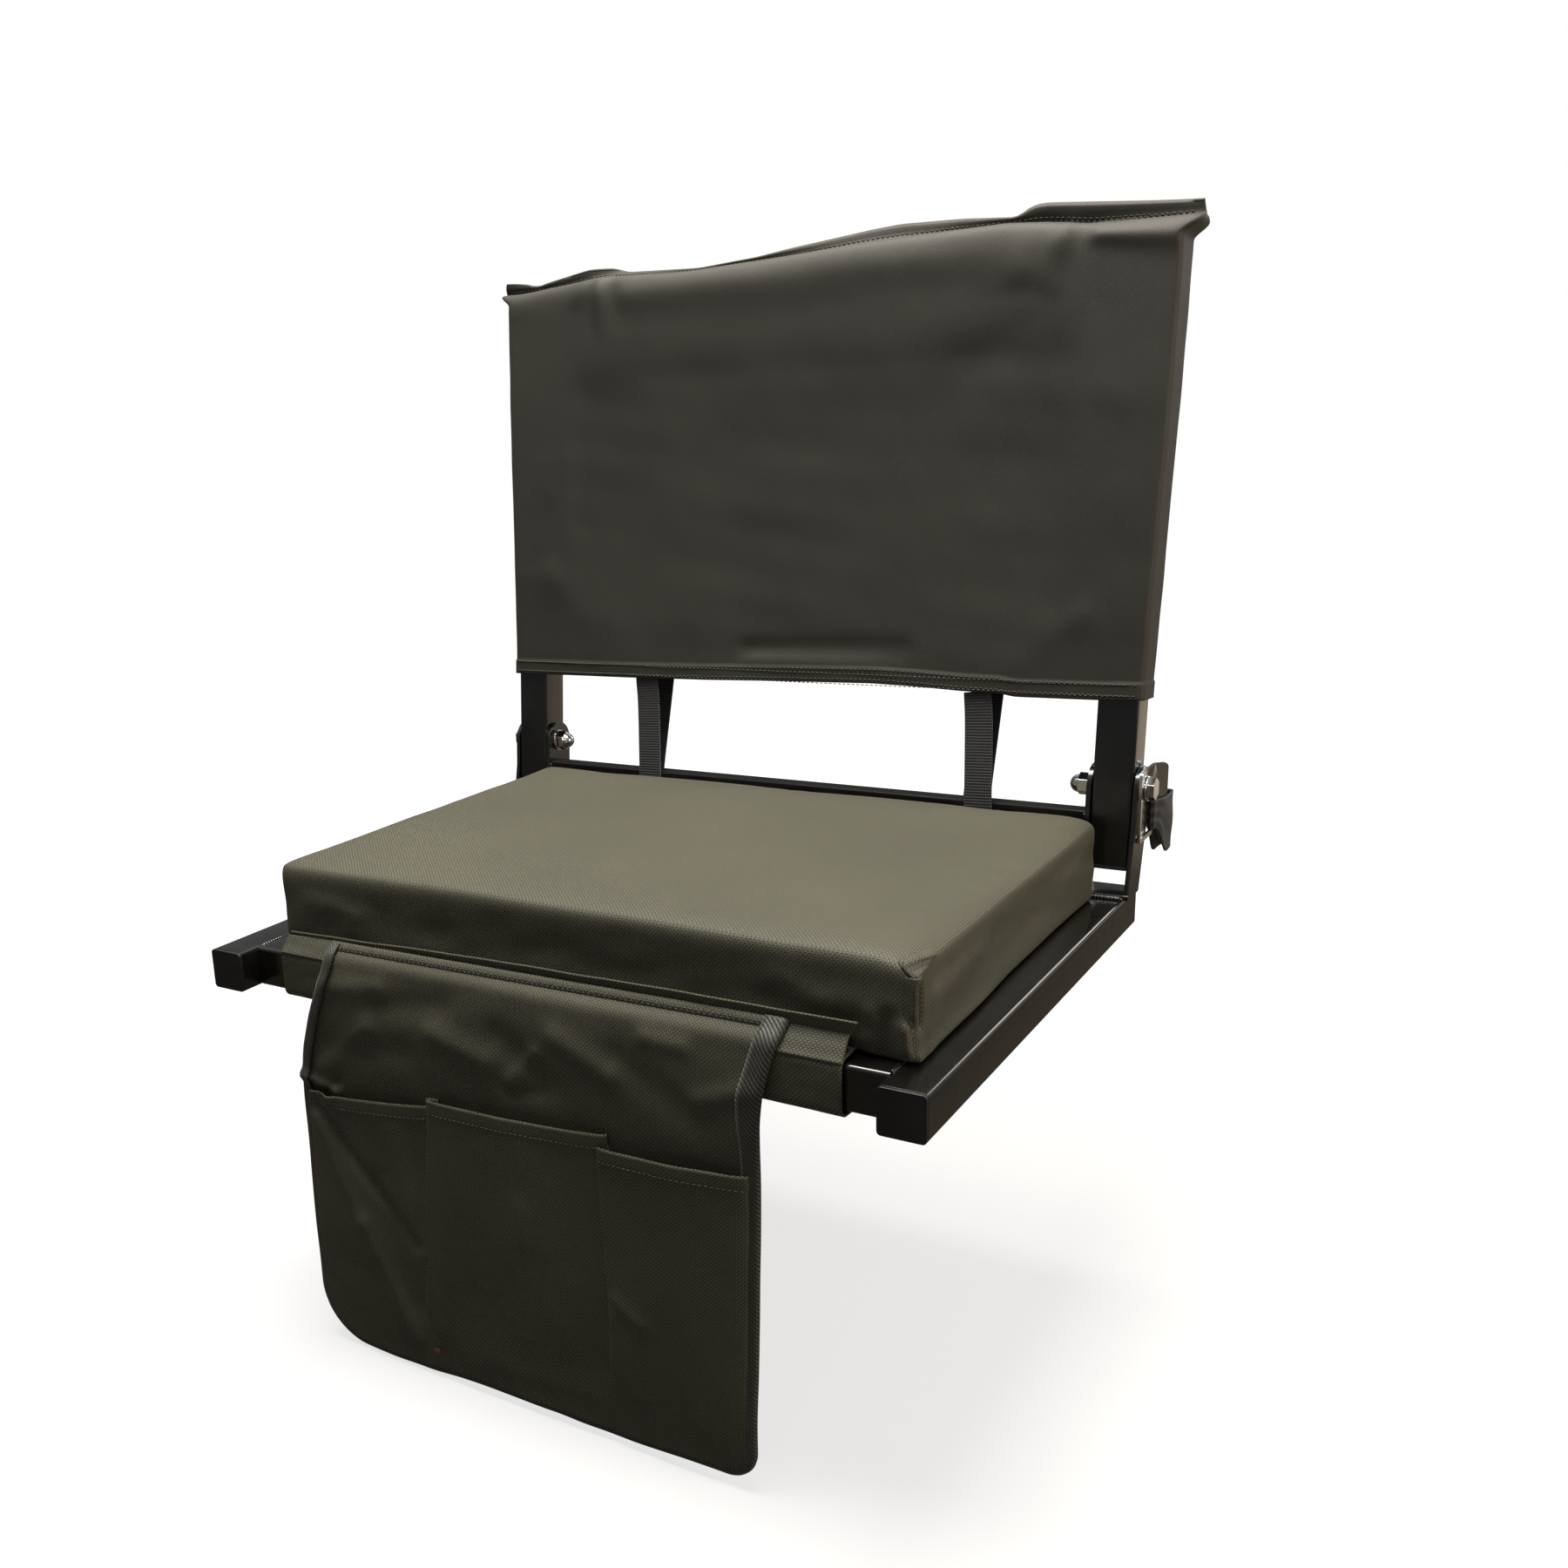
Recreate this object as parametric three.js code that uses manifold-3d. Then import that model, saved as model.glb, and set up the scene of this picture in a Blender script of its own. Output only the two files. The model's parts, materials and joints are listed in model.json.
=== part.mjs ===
// Folding stadium seat: a square-tube seat frame, a folding padded back and a hanging pocket panel.
// Millimetres. X runs to the sitter's left, Y to the back, Z up. Z is 0 on the bench.
import * as THREE from 'three';
import { mergeVertices } from 'three/addons/utils/BufferGeometryUtils.js';
import Module from 'manifold-3d';

const wasm = await Module();
wasm.setup();

// Frame tubes
const TUBE = 25.4;
const TUBE_WALL = 1.5;
const TUBE_CORNER = 2.4;
const FRAME_WIDTH = 476;
const RAIL_LENGTH = 360;
const FRONT_TUBE_SETBACK = 16;
const REAR_TUBE_SETBACK = 38.6;
const CAP_FLANGE = 2.5;
const CAP_PLUG_DEPTH = 12;

// Clearances
const FIT_GAP = 0.3;
const SWING_GAP = 0.4;
const CLOTH_GAP = 0.5;
const CUT_OVERRUN = 2;

// Hinge
const PIVOT_INSET = 8.3;
const PIVOT_HEIGHT = 93;
const RECLINE_DEGREES = 5.2;
const EAR_THICKNESS = 3;
const EAR_HALF_WIDTH = 14;
const EAR_SET_BACK = 1.3;
const EAR_SHOULDER = 20;
const WEB_FRONT_SETBACK = 9;
const WEB_LENGTH = 25;
const STOP_TAB_THICKNESS = 3;
const STOP_TAB_HEIGHT = 6.5;
const STOP_TAB_REACH = 10;
const STOP_TAB_CLEARANCE = 1.8;
const STOP_HORN_ROOT = 8;

// Pivot bolts, nuts and washers
const BOLT_RADIUS = 4;
const BOLT_HEAD_ACROSS = 13;
const BOLT_HEAD_HEIGHT = 4.3;
const WASHER_RADIUS = 8;
const WASHER_THICKNESS = 1.2;
const NUT_ACROSS = 13;
const NUT_HEIGHT = 6.5;
const NUT_DOME_RADIUS = 6;
const NUT_ENGAGEMENT = 5.2;
const NUT_BORE_SPARE = 1;

// Bar between the inner ears
const BAR = 12.7;
const BAR_WALL = 1.2;
const BAR_CORNER = 1.6;
const BAR_DROP = 14.7;
const BAR_FRONT_LEAD = 13.2;

// Back frame, measured along the upright from the pivot
const UPRIGHT_FOOT_CLEARANCE = 12.6;
const BACK_ABOVE = 336;
const TOP_BEND_RADIUS = 46;

// Back cover
const COVER_CLOTH = 1.5;
const COVER_HEM = 55;
const COVER_CORNER = 2.6;
const COVER_TOP_FLARE = 5;
const COVER_FRONT_SLACK = 3.5;
const COVER_REAR_SLACK = 2.5;
const COVER_CREASE = 1.6;
const COVER_CREASE_WIDTH = 30;
const COVER_TOP_RISE = 6;
const FIN_THICKNESS = 2.4;
const FIN_HEIGHT = 11;
const FIN_FOLDED_HEIGHT = 3;
const FIN_OVERHANG = 9;
const FIN_ROOT = 0.9;
const COVER_STRAP_WIDTH = 20;
const COVER_STRAP_THICKNESS = 1.4;
const COVER_STRAP_TUCK = 16;
const COVER_STRAP_DRIFT = 4;
const COVER_STRAP_SKEW = 6;
const LEFT_COVER_STRAP_CENTRE = -120;
const RIGHT_COVER_STRAP_CENTRE = 135;

// Seat deck and its sleeves
const DECK_CLOTH = 1.2;
const DECK_HALF_WIDTH = 189;
const DECK_RAMP_TOP = 13.4;
const DECK_RAMP_RUN = 11;

// Seat cushion
const CUSHION_WIDTH = 415;
const CUSHION_SIDE_SHIFT = 7.5;
const CUSHION_FRONT = 28.8;
const CUSHION_REAR_GAP = 15.7;
const CUSHION_HEIGHT = 51.4;
const CUSHION_EDGE = 13;
const CUSHION_CROWN = 5;
const CUSHION_SIDE_BULGE = 3;
const CUSHION_DRAW_IN = 4;

// Pocket panel
const PANEL_CLOTH = 1.5;
const PANEL_LEFT = -180;
const PANEL_RIGHT = 144;
const PANEL_BOTTOM = -233;
const PANEL_LEFT_RADIUS = 34;
const PANEL_RIGHT_RADIUS = 22;
const PANEL_TOP_TRIM = 0.9;
const PANEL_TOP_LEFT = -149;
const PANEL_TOP_RIGHT = 150;
const PANEL_SHOULDER_LEFT = -176;
const PANEL_SHOULDER_Z = -50;
const PANEL_NECK_Z = -6;
const FLAP_END_GAP = 1.5;
const BINDING_CLOTH = 1;
const BINDING_WIDTH = 9;
const BINDING_TOP_DROP = 6;

// Pockets on the panel
const POCKET_CLOTH = 1.3;
const POCKET_DEPTH = 9.5;
const POCKET_SIDE_DEPTH = 5.5;
const POCKET_SAG = 2;
const POCKET_LEFT_TOPS = [-61, -46, -44];
const POCKET_RIGHT_TOPS = [-51, -41, -42];
const POCKET_SEAMS = [-72, 50];

// Strap plate and its webbing loop, measured from the pivot
const PLATE_THICKNESS = 1.8;
const PLATE_FRONT = 12;
const PLATE_REAR = 20.5;
const PLATE_TOP = 12.5;
const PLATE_BOTTOM = 34;
const PLATE_CORNER = 3.5;
const SLOT_FRONT = 9.5;
const SLOT_REAR = 17.5;
const SLOT_TOP = 7;
const SLOT_BOTTOM = 31;
const TAB_LENGTH = 9.5;
const TAB_BOTTOM = 9.8;
const TAB_TURN_DEGREES = 45;
const LOOP_THICKNESS = 1.2;
const LOOP_WIDTH = 32;
const LOOP_GATHERED_WIDTH = 19;
const LOOP_GATHERED_DROP = 21.2;
const LOOP_DROP = 29;
const LOOP_REACH = 62;
const LOOP_OUTSET = 1.5;
const LOOP_DEPTH = 7;
const LOOP_SEWN_LENGTH = 12;

// Fineness of curves and lattices
const TUBE_CORNER_STEPS = 3;
const PLATE_CORNER_STEPS = 4;
const BEND_STEPS = 6;
const PANEL_CORNER_STEPS = 8;
const EAR_STEPS = 12;
const ROUND_SIDES = 24;
const HEX_SIDES = 6;
const DOME_STEPS = 16;
const DOME_RINGS = 10;
const COVER_STEPS = [16, 1, 9];
const FIN_STEPS = 24;
const CUSHION_STEPS = [10, 8, 2];
const POCKET_STEPS = 10;
const POCKET_FOOT_SHARES = [0, 0.01, 0.04, 0.09, 0.16];
const POCKET_UPPER_SHARES = [0.3, 0.44, 0.58, 0.72, 0.86, 1];
const LOOP_STEPS = 48;
const LOOP_STEPS_ACROSS = 2;

// Places along the top edge, as shares of the space between the uprights
const CREST_CENTRE_SHARE = 1 / 3;
const CREASE_SETBACK_SHARE = 2;
const FIN_FOLD_SHARE = 3;

// Worked out from the sizes above
const HALF_WIDTH = FRAME_WIDTH / 2;
const HALF_TUBE = TUBE / 2;
const INNER_HALF = HALF_WIDTH - TUBE;
const UPRIGHT_CENTRE = HALF_WIDTH - HALF_TUBE;
const PIVOT_Y = RAIL_LENGTH - PIVOT_INSET;
const RECLINE = THREE.MathUtils.degToRad(RECLINE_DEGREES);
const HOLE_RADIUS = BOLT_RADIUS + FIT_GAP;
const EAR_INNER = HALF_TUBE + SWING_GAP;
const EAR_OUTER = EAR_INNER + EAR_THICKNESS;
const REAR_TUBE_Y = RAIL_LENGTH - REAR_TUBE_SETBACK - TUBE;
const UPRIGHT_BELOW = PIVOT_HEIGHT - TUBE - EAR_THICKNESS - UPRIGHT_FOOT_CLEARANCE;
const BAR_FRONT_Y = PIVOT_Y - BAR_FRONT_LEAD;
const CUSHION_LENGTH = BAR_FRONT_Y - CUSHION_REAR_GAP - CUSHION_FRONT;
const DECK_TOP = TUBE + CLOTH_GAP + DECK_CLOTH;
const DECK_FRONT = FRONT_TUBE_SETBACK - CLOTH_GAP - DECK_CLOTH;
const PANEL_BACK_Y = DECK_FRONT - FIT_GAP * 2 - BINDING_CLOTH;
const PANEL_FRONT_Y = PANEL_BACK_Y - PANEL_CLOTH;
const PANEL_AXIS_Y = PANEL_BACK_Y - PANEL_CLOTH / 2;
const PANEL_AXIS_Z = DECK_TOP;
const PLATE_INNER = EAR_OUTER + FIT_GAP;
const PLATE_OUTER = PLATE_INNER + PLATE_THICKNESS;
const NUT_FACE = EAR_OUTER + WASHER_THICKNESS;

const PAINT = { color: 0x141414, roughness: 0.22, metalness: 0.6 };
const CHROME = { color: 0xd4d4d2, roughness: 0.12, metalness: 1 };
const BLACK_PLASTIC = { color: 0x1a1a1a, roughness: 0.5, metalness: 0 };
const WOVEN = { color: 0x34352c, roughness: 0.85, metalness: 0 };
const WEBBING = { color: 0x26272a, roughness: 0.9, metalness: 0 };

const seat = new THREE.Group();

function addPiece(name, geometry, look) {
  const piece = new THREE.Mesh(geometry, new THREE.MeshStandardMaterial(look));
  piece.name = name;
  seat.add(piece);
  return piece;
}

// Solids and booleans
function solidFrom(geometry) {
  const bare = geometry.clone();
  bare.deleteAttribute('normal');
  bare.deleteAttribute('uv');
  const merged = mergeVertices(bare);
  const mesh = new wasm.Mesh({
    numProp: 3,
    vertProperties: new Float32Array(merged.attributes.position.array),
    triVerts: new Uint32Array(merged.index.array),
  });
  return new wasm.Manifold(mesh);
}

function geometryFrom(solid) {
  const mesh = solid.getMesh();
  const geometry = new THREE.BufferGeometry();
  geometry.setAttribute('position', new THREE.BufferAttribute(mesh.vertProperties, 3));
  geometry.setIndex(new THREE.BufferAttribute(mesh.triVerts, 1));
  geometry.computeVertexNormals();
  return geometry;
}

function cut(body, ...tools) {
  const left = tools.reduce((solid, tool) => solid.subtract(solidFrom(tool)), solidFrom(body));
  return geometryFrom(left);
}

function join(body, ...others) {
  const whole = others.reduce((solid, other) => solid.add(solidFrom(other)), solidFrom(body));
  return geometryFrom(whole);
}

// Outlines
function roundedRect(halfU, halfV, radius) {
  const shape = new THREE.Shape();
  const u = halfU - radius;
  const v = halfV - radius;
  shape.absarc(u, v, radius, 0, Math.PI / 2);
  shape.absarc(-u, v, radius, Math.PI / 2, Math.PI);
  shape.absarc(-u, -v, radius, Math.PI, Math.PI * 1.5);
  shape.absarc(u, -v, radius, Math.PI * 1.5, Math.PI * 2);
  shape.closePath();
  return shape;
}

function polygon(points) {
  return new THREE.Shape(points.map(([u, v]) => new THREE.Vector2(u, v)));
}

// An outline in (Y, Z) pushed out along X, from x0 to x1
function extrudeAlongX(shape, x0, x1, curveSegments = TUBE_CORNER_STEPS) {
  const geometry = new THREE.ExtrudeGeometry(shape, { depth: x1 - x0, bevelEnabled: false, curveSegments });
  const axes = new THREE.Matrix4().makeBasis(
    new THREE.Vector3(0, 1, 0),
    new THREE.Vector3(0, 0, 1),
    new THREE.Vector3(1, 0, 0),
  );
  return geometry.applyMatrix4(axes).translate(x0, 0, 0);
}

// An outline in (X, Z) pushed out along Y, from y0 to y1
function extrudeAlongY(shape, y0, y1, curveSegments = TUBE_CORNER_STEPS) {
  const geometry = new THREE.ExtrudeGeometry(shape, { depth: y1 - y0, bevelEnabled: false, curveSegments });
  const axes = new THREE.Matrix4().makeBasis(
    new THREE.Vector3(1, 0, 0),
    new THREE.Vector3(0, 0, 1),
    new THREE.Vector3(0, -1, 0),
  );
  return geometry.applyMatrix4(axes).translate(0, y1, 0);
}

// An outline in (X, Y) pushed out along Z, from z0 to z1
function extrudeAlongZ(shape, z0, z1, curveSegments = TUBE_CORNER_STEPS) {
  const geometry = new THREE.ExtrudeGeometry(shape, { depth: z1 - z0, bevelEnabled: false, curveSegments });
  return geometry.translate(0, 0, z0);
}

function boxBetween(x0, x1, y0, y1, z0, z1) {
  const geometry = new THREE.BoxGeometry(x1 - x0, y1 - y0, z1 - z0);
  return geometry.translate((x0 + x1) / 2, (y0 + y1) / 2, (z0 + z1) / 2);
}

// A round or hexagonal bar along X through the pivot
function pivotBar(radius, x0, x1, sides) {
  const geometry = new THREE.CylinderGeometry(radius, radius, x1 - x0, sides);
  return geometry.rotateZ(Math.PI / 2).translate((x0 + x1) / 2, PIVOT_Y, PIVOT_HEIGHT);
}

// Places in the reclined frame: n backward from the upright's centre line, s up along it
function leanPoint(n, s) {
  const y = PIVOT_Y + n * Math.cos(RECLINE) + s * Math.sin(RECLINE);
  const z = PIVOT_HEIGHT - n * Math.sin(RECLINE) + s * Math.cos(RECLINE);
  return [y, z];
}

function leanGeometry(geometry) {
  return geometry.rotateX(-RECLINE).translate(0, PIVOT_Y, PIVOT_HEIGHT);
}

// A closed solid on a lattice of shares: place() bends each surface point of a unit block
function latticeSolid(stepsU, stepsV, stepsW, place) {
  const positions = [];
  const index = [];
  const seen = new Map();
  const lastU = stepsU.length - 1;
  const lastV = stepsV.length - 1;
  const lastW = stepsW.length - 1;
  const corner = (i, j, k) => {
    const key = `${i},${j},${k}`;
    if (!seen.has(key)) {
      seen.set(key, positions.length / 3);
      positions.push(...place(stepsU[i], stepsV[j], stepsW[k]));
    }
    return seen.get(key);
  };
  const quad = (...ring) => {
    const [a, b, c, d] = ring.map((step) => corner(...step));
    index.push(a, b, c, a, c, d);
  };
  for (let i = 0; i < lastU; i += 1) {
    for (let j = 0; j < lastV; j += 1) {
      quad([i, j, lastW], [i + 1, j, lastW], [i + 1, j + 1, lastW], [i, j + 1, lastW]);
      quad([i, j, 0], [i, j + 1, 0], [i + 1, j + 1, 0], [i + 1, j, 0]);
    }
    for (let k = 0; k < lastW; k += 1) {
      quad([i, lastV, k], [i, lastV, k + 1], [i + 1, lastV, k + 1], [i + 1, lastV, k]);
      quad([i, 0, k], [i + 1, 0, k], [i + 1, 0, k + 1], [i, 0, k + 1]);
    }
  }
  for (let j = 0; j < lastV; j += 1) {
    for (let k = 0; k < lastW; k += 1) {
      quad([lastU, j, k], [lastU, j + 1, k], [lastU, j + 1, k + 1], [lastU, j, k + 1]);
      quad([0, j, k], [0, j, k + 1], [0, j + 1, k + 1], [0, j + 1, k]);
    }
  }
  const geometry = new THREE.BufferGeometry();
  geometry.setAttribute('position', new THREE.Float32BufferAttribute(positions, 3));
  geometry.setIndex(index);
  geometry.computeVertexNormals();
  return geometry;
}

function evenSteps(from, to, count) {
  return Array.from({ length: count + 1 }, (_, i) => from + ((to - from) * i) / count);
}

// Lattice shares from -1 to 1 with two extra lines in each rounded edge
function edgedSteps(half, radius, inner) {
  const flatShare = (half - radius) / half;
  const midShare = (half - radius * (1 - Math.tan(Math.PI / 8))) / half;
  return [-1, -midShare, ...evenSteps(-flatShare, flatShare, inner), midShare, 1];
}

// A point on a block, moved onto the block with rounded edges
function roundPoint(point, halves, radius) {
  const core = point.map((value, axis) => {
    const limit = halves[axis] - radius;
    return Math.min(limit, Math.max(-limit, value));
  });
  const out = point.map((value, axis) => value - core[axis]);
  const length = Math.hypot(...out);
  return length > 0 ? core.map((value, axis) => value + (out[axis] / length) * radius) : point;
}

function bump(value, centre, halfWidth) {
  const share = Math.abs(value - centre) / halfWidth;
  return share < 1 ? (1 - share * share) ** 2 : 0;
}

function smoothStep(value, from, to) {
  const share = Math.min(1, Math.max(0, (value - from) / (to - from)));
  return share * share * (3 - 2 * share);
}

// Seat frame tubes
function tubeOutline(size, wall, corner) {
  const outline = roundedRect(size / 2, size / 2, corner);
  outline.holes.push(roundedRect(size / 2 - wall, size / 2 - wall, corner - wall));
  return outline;
}

function endCap(side, faceY, inward) {
  const flange = extrudeAlongY(roundedRect(HALF_TUBE, HALF_TUBE, TUBE_CORNER), 0, CAP_FLANGE);
  const plugHalf = HALF_TUBE - TUBE_WALL - FIT_GAP;
  const plugStart = CAP_FLANGE - FIT_GAP;
  const plug = boxBetween(-plugHalf, plugHalf, plugStart, CAP_FLANGE + CAP_PLUG_DEPTH, -plugHalf, plugHalf);
  const cap = join(flange, plug);
  if (inward < 0) {
    cap.rotateZ(Math.PI);
  }
  return cap.translate(side * UPRIGHT_CENTRE, faceY, HALF_TUBE);
}

function addSeatFrame() {
  const frameTube = tubeOutline(TUBE, TUBE_WALL, TUBE_CORNER);
  for (const [name, side] of [['left', -1], ['right', 1]]) {
    const rail = extrudeAlongY(frameTube, CAP_FLANGE, RAIL_LENGTH - CAP_FLANGE);
    addPiece(`${name}_side_rail`, rail.translate(side * UPRIGHT_CENTRE, 0, HALF_TUBE), PAINT);
    addPiece(`${name}_front_end_cap`, endCap(side, 0, 1), BLACK_PLASTIC);
    addPiece(`${name}_rear_end_cap`, endCap(side, RAIL_LENGTH, -1), BLACK_PLASTIC);
  }
  const crossTube = extrudeAlongX(frameTube, -INNER_HALF, INNER_HALF);
  const frontTube = crossTube.clone().translate(0, FRONT_TUBE_SETBACK + HALF_TUBE, HALF_TUBE);
  const rearTube = crossTube.clone().translate(0, REAR_TUBE_Y + HALF_TUBE, HALF_TUBE);
  addPiece('front_cross_tube', frontTube, PAINT);
  addPiece('rear_cross_tube', rearTube, PAINT);
}

// Hinge brackets, one per rail
function earOutline() {
  const webFront = RAIL_LENGTH - WEB_LENGTH - WEB_FRONT_SETBACK;
  const webRear = webFront + WEB_LENGTH;
  const outline = new THREE.Shape();
  outline.moveTo(webRear, TUBE);
  outline.lineTo(...leanPoint(EAR_SET_BACK + EAR_HALF_WIDTH, -EAR_SHOULDER));
  outline.lineTo(...leanPoint(EAR_SET_BACK + EAR_HALF_WIDTH, 0));
  outline.absarc(...leanPoint(EAR_SET_BACK, 0), EAR_HALF_WIDTH, -RECLINE, Math.PI - RECLINE);
  outline.lineTo(...leanPoint(EAR_SET_BACK - EAR_HALF_WIDTH, -EAR_SHOULDER));
  outline.lineTo(webFront, TUBE);
  outline.closePath();
  return outline;
}

// The horn on the -X ear carries the stop tab behind the upright, clear of its swinging lower end
function stopHorn() {
  const tabBottom = HALF_TUBE + STOP_TAB_CLEARANCE;
  const tabTop = tabBottom + STOP_TAB_HEIGHT;
  const tabFront = HALF_TUBE + FIT_GAP;
  const tabRear = tabFront + STOP_TAB_THICKNESS;
  const horn = boxBetween(-EAR_OUTER, -EAR_INNER, STOP_HORN_ROOT, tabRear, -EAR_INNER, tabTop);
  const tab = boxBetween(-EAR_OUTER, STOP_TAB_REACH - EAR_INNER, tabFront, tabRear, tabBottom, tabTop);
  return leanGeometry(join(horn, tab));
}

function hingeBracket() {
  const webFront = RAIL_LENGTH - WEB_LENGTH - WEB_FRONT_SETBACK;
  const web = boxBetween(-EAR_OUTER, EAR_OUTER, webFront, webFront + WEB_LENGTH, TUBE, TUBE + EAR_THICKNESS);
  const innerEar = extrudeAlongX(earOutline(), -EAR_OUTER, -EAR_INNER, EAR_STEPS);
  const outerEar = extrudeAlongX(earOutline(), EAR_INNER, EAR_OUTER, EAR_STEPS);
  const whole = join(web, innerEar, outerEar, stopHorn());
  return cut(whole, pivotBar(HOLE_RADIUS, -EAR_OUTER - CUT_OVERRUN, EAR_OUTER + CUT_OVERRUN, ROUND_SIDES));
}

// Outboard is +X on the right, so the left copy is mirrored
function mirrored(geometry) {
  const flipped = geometry.clone().scale(-1, 1, 1);
  const order = flipped.index.array;
  for (let i = 0; i < order.length; i += 3) {
    [order[i], order[i + 1]] = [order[i + 1], order[i]];
  }
  flipped.computeVertexNormals();
  return flipped;
}

function addLeft(name, geometry, look) {
  const indexed = geometry.index ? geometry : mergeVertices(geometry);
  addPiece(`left_${name}`, mirrored(indexed).translate(-UPRIGHT_CENTRE, 0, 0), look);
}

function addRight(name, geometry, look) {
  addPiece(`right_${name}`, geometry.clone().translate(UPRIGHT_CENTRE, 0, 0), look);
}

function addPair(name, geometry, look) {
  addLeft(name, geometry, look);
  addRight(name, geometry, look);
}

function washer(x0) {
  const x1 = x0 + WASHER_THICKNESS;
  const disc = pivotBar(WASHER_RADIUS, x0, x1, ROUND_SIDES);
  return cut(disc, pivotBar(HOLE_RADIUS, x0 - CUT_OVERRUN, x1 + CUT_OVERRUN, ROUND_SIDES));
}

function pivotBolt(headInner) {
  const head = pivotBar(BOLT_HEAD_ACROSS / Math.sqrt(3), headInner, headInner + BOLT_HEAD_HEIGHT, HEX_SIDES);
  const shank = pivotBar(BOLT_RADIUS, -NUT_FACE - NUT_ENGAGEMENT, headInner + FIT_GAP, ROUND_SIDES);
  return join(head, shank);
}

function capNut() {
  const hexEnd = -NUT_FACE - NUT_HEIGHT;
  const hex = pivotBar(NUT_ACROSS / Math.sqrt(3), hexEnd, -NUT_FACE, HEX_SIDES);
  const dome = new THREE.SphereGeometry(NUT_DOME_RADIUS, DOME_STEPS, DOME_RINGS);
  dome.rotateZ(Math.PI / 2).translate(hexEnd, PIVOT_Y, PIVOT_HEIGHT);
  const boreEnd = -NUT_FACE - NUT_ENGAGEMENT - NUT_BORE_SPARE;
  const bore = pivotBar(HOLE_RADIUS, boreEnd, -NUT_FACE + CUT_OVERRUN, ROUND_SIDES);
  return cut(join(hex, dome), bore);
}

function addHinges() {
  const bracket = hingeBracket();
  addPiece('left_hinge_bracket', bracket.clone().translate(-UPRIGHT_CENTRE, 0, 0), PAINT);
  addRight('hinge_bracket', bracket, PAINT);
  addPair('cap_nut', capNut(), CHROME);
  addPair('nut_washer', washer(-NUT_FACE), CHROME);
  const rightWasher = PLATE_OUTER + FIT_GAP;
  addLeft('head_washer', washer(EAR_OUTER), CHROME);
  addRight('head_washer', washer(rightWasher), CHROME);
  addLeft('pivot_bolt', pivotBolt(EAR_OUTER + WASHER_THICKNESS), CHROME);
  addRight('pivot_bolt', pivotBolt(rightWasher + WASHER_THICKNESS), CHROME);
}

function addRearBar() {
  const reach = UPRIGHT_CENTRE - EAR_OUTER;
  const bar = extrudeAlongX(tubeOutline(BAR, BAR_WALL, BAR_CORNER), -reach, reach);
  bar.translate(0, BAR_FRONT_Y + BAR / 2, PIVOT_HEIGHT - BAR_DROP - BAR / 2);
  addPiece('rear_strap_bar', bar, PAINT);
}

// Back frame: two uprights and a bent top tube
function upright() {
  const outline = tubeOutline(TUBE, TUBE_WALL, TUBE_CORNER);
  const bottom = -UPRIGHT_BELOW + CAP_FLANGE;
  const top = BACK_ABOVE - TOP_BEND_RADIUS;
  const tube = extrudeAlongZ(outline, bottom, top);
  return cut(leanGeometry(tube), pivotBar(HOLE_RADIUS, -TUBE, TUBE, ROUND_SIDES));
}

function uprightPlug() {
  const flange = extrudeAlongZ(roundedRect(HALF_TUBE, HALF_TUBE, TUBE_CORNER), 0, CAP_FLANGE);
  const plugHalf = HALF_TUBE - TUBE_WALL - FIT_GAP;
  const plugTop = CAP_FLANGE + CAP_PLUG_DEPTH;
  const plug = boxBetween(-plugHalf, plugHalf, -plugHalf, plugHalf, CAP_FLANGE - FIT_GAP, plugTop);
  return leanGeometry(join(flange, plug).translate(0, 0, -UPRIGHT_BELOW));
}

// An arch in (X, s): outer edge inset from the back frame's outline, legs ending at foot
function archOutline(inset, foot) {
  const half = HALF_WIDTH - inset;
  const top = BACK_ABOVE - inset;
  const outerRadius = TOP_BEND_RADIUS - inset;
  const innerHalf = INNER_HALF + inset;
  const innerTop = BACK_ABOVE - TUBE + inset;
  const innerRadius = TOP_BEND_RADIUS - TUBE + inset;
  const outline = new THREE.Shape();
  outline.moveTo(innerHalf, foot);
  outline.lineTo(half, foot);
  outline.absarc(half - outerRadius, top - outerRadius, outerRadius, 0, Math.PI / 2);
  outline.absarc(-half + outerRadius, top - outerRadius, outerRadius, Math.PI / 2, Math.PI);
  outline.lineTo(-half, foot);
  outline.lineTo(-innerHalf, foot);
  outline.absarc(-innerHalf + innerRadius, innerTop - innerRadius, innerRadius, Math.PI, Math.PI / 2, true);
  outline.absarc(innerHalf - innerRadius, innerTop - innerRadius, innerRadius, Math.PI / 2, 0, true);
  outline.closePath();
  return outline;
}

function topTube() {
  const foot = BACK_ABOVE - TOP_BEND_RADIUS;
  const bar = extrudeAlongY(archOutline(0, foot), -HALF_TUBE, HALF_TUBE, BEND_STEPS);
  const innerDepth = HALF_TUBE - TUBE_WALL;
  const bore = archOutline(TUBE_WALL, foot - CUT_OVERRUN);
  const hollow = extrudeAlongY(bore, -innerDepth, innerDepth, BEND_STEPS);
  return leanGeometry(cut(bar, hollow));
}

function addBackFrame() {
  addPair('upright', upright(), PAINT);
  addPair('upright_plug', uprightPlug(), BLACK_PLASTIC);
  addPiece('top_tube', topTube(), PAINT);
}

// How far the cover's top edge rises at x, where the cloth is full
function topRise(x) {
  return COVER_TOP_RISE * bump(x, INNER_HALF * CREST_CENTRE_SHARE, INNER_HALF);
}

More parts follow.
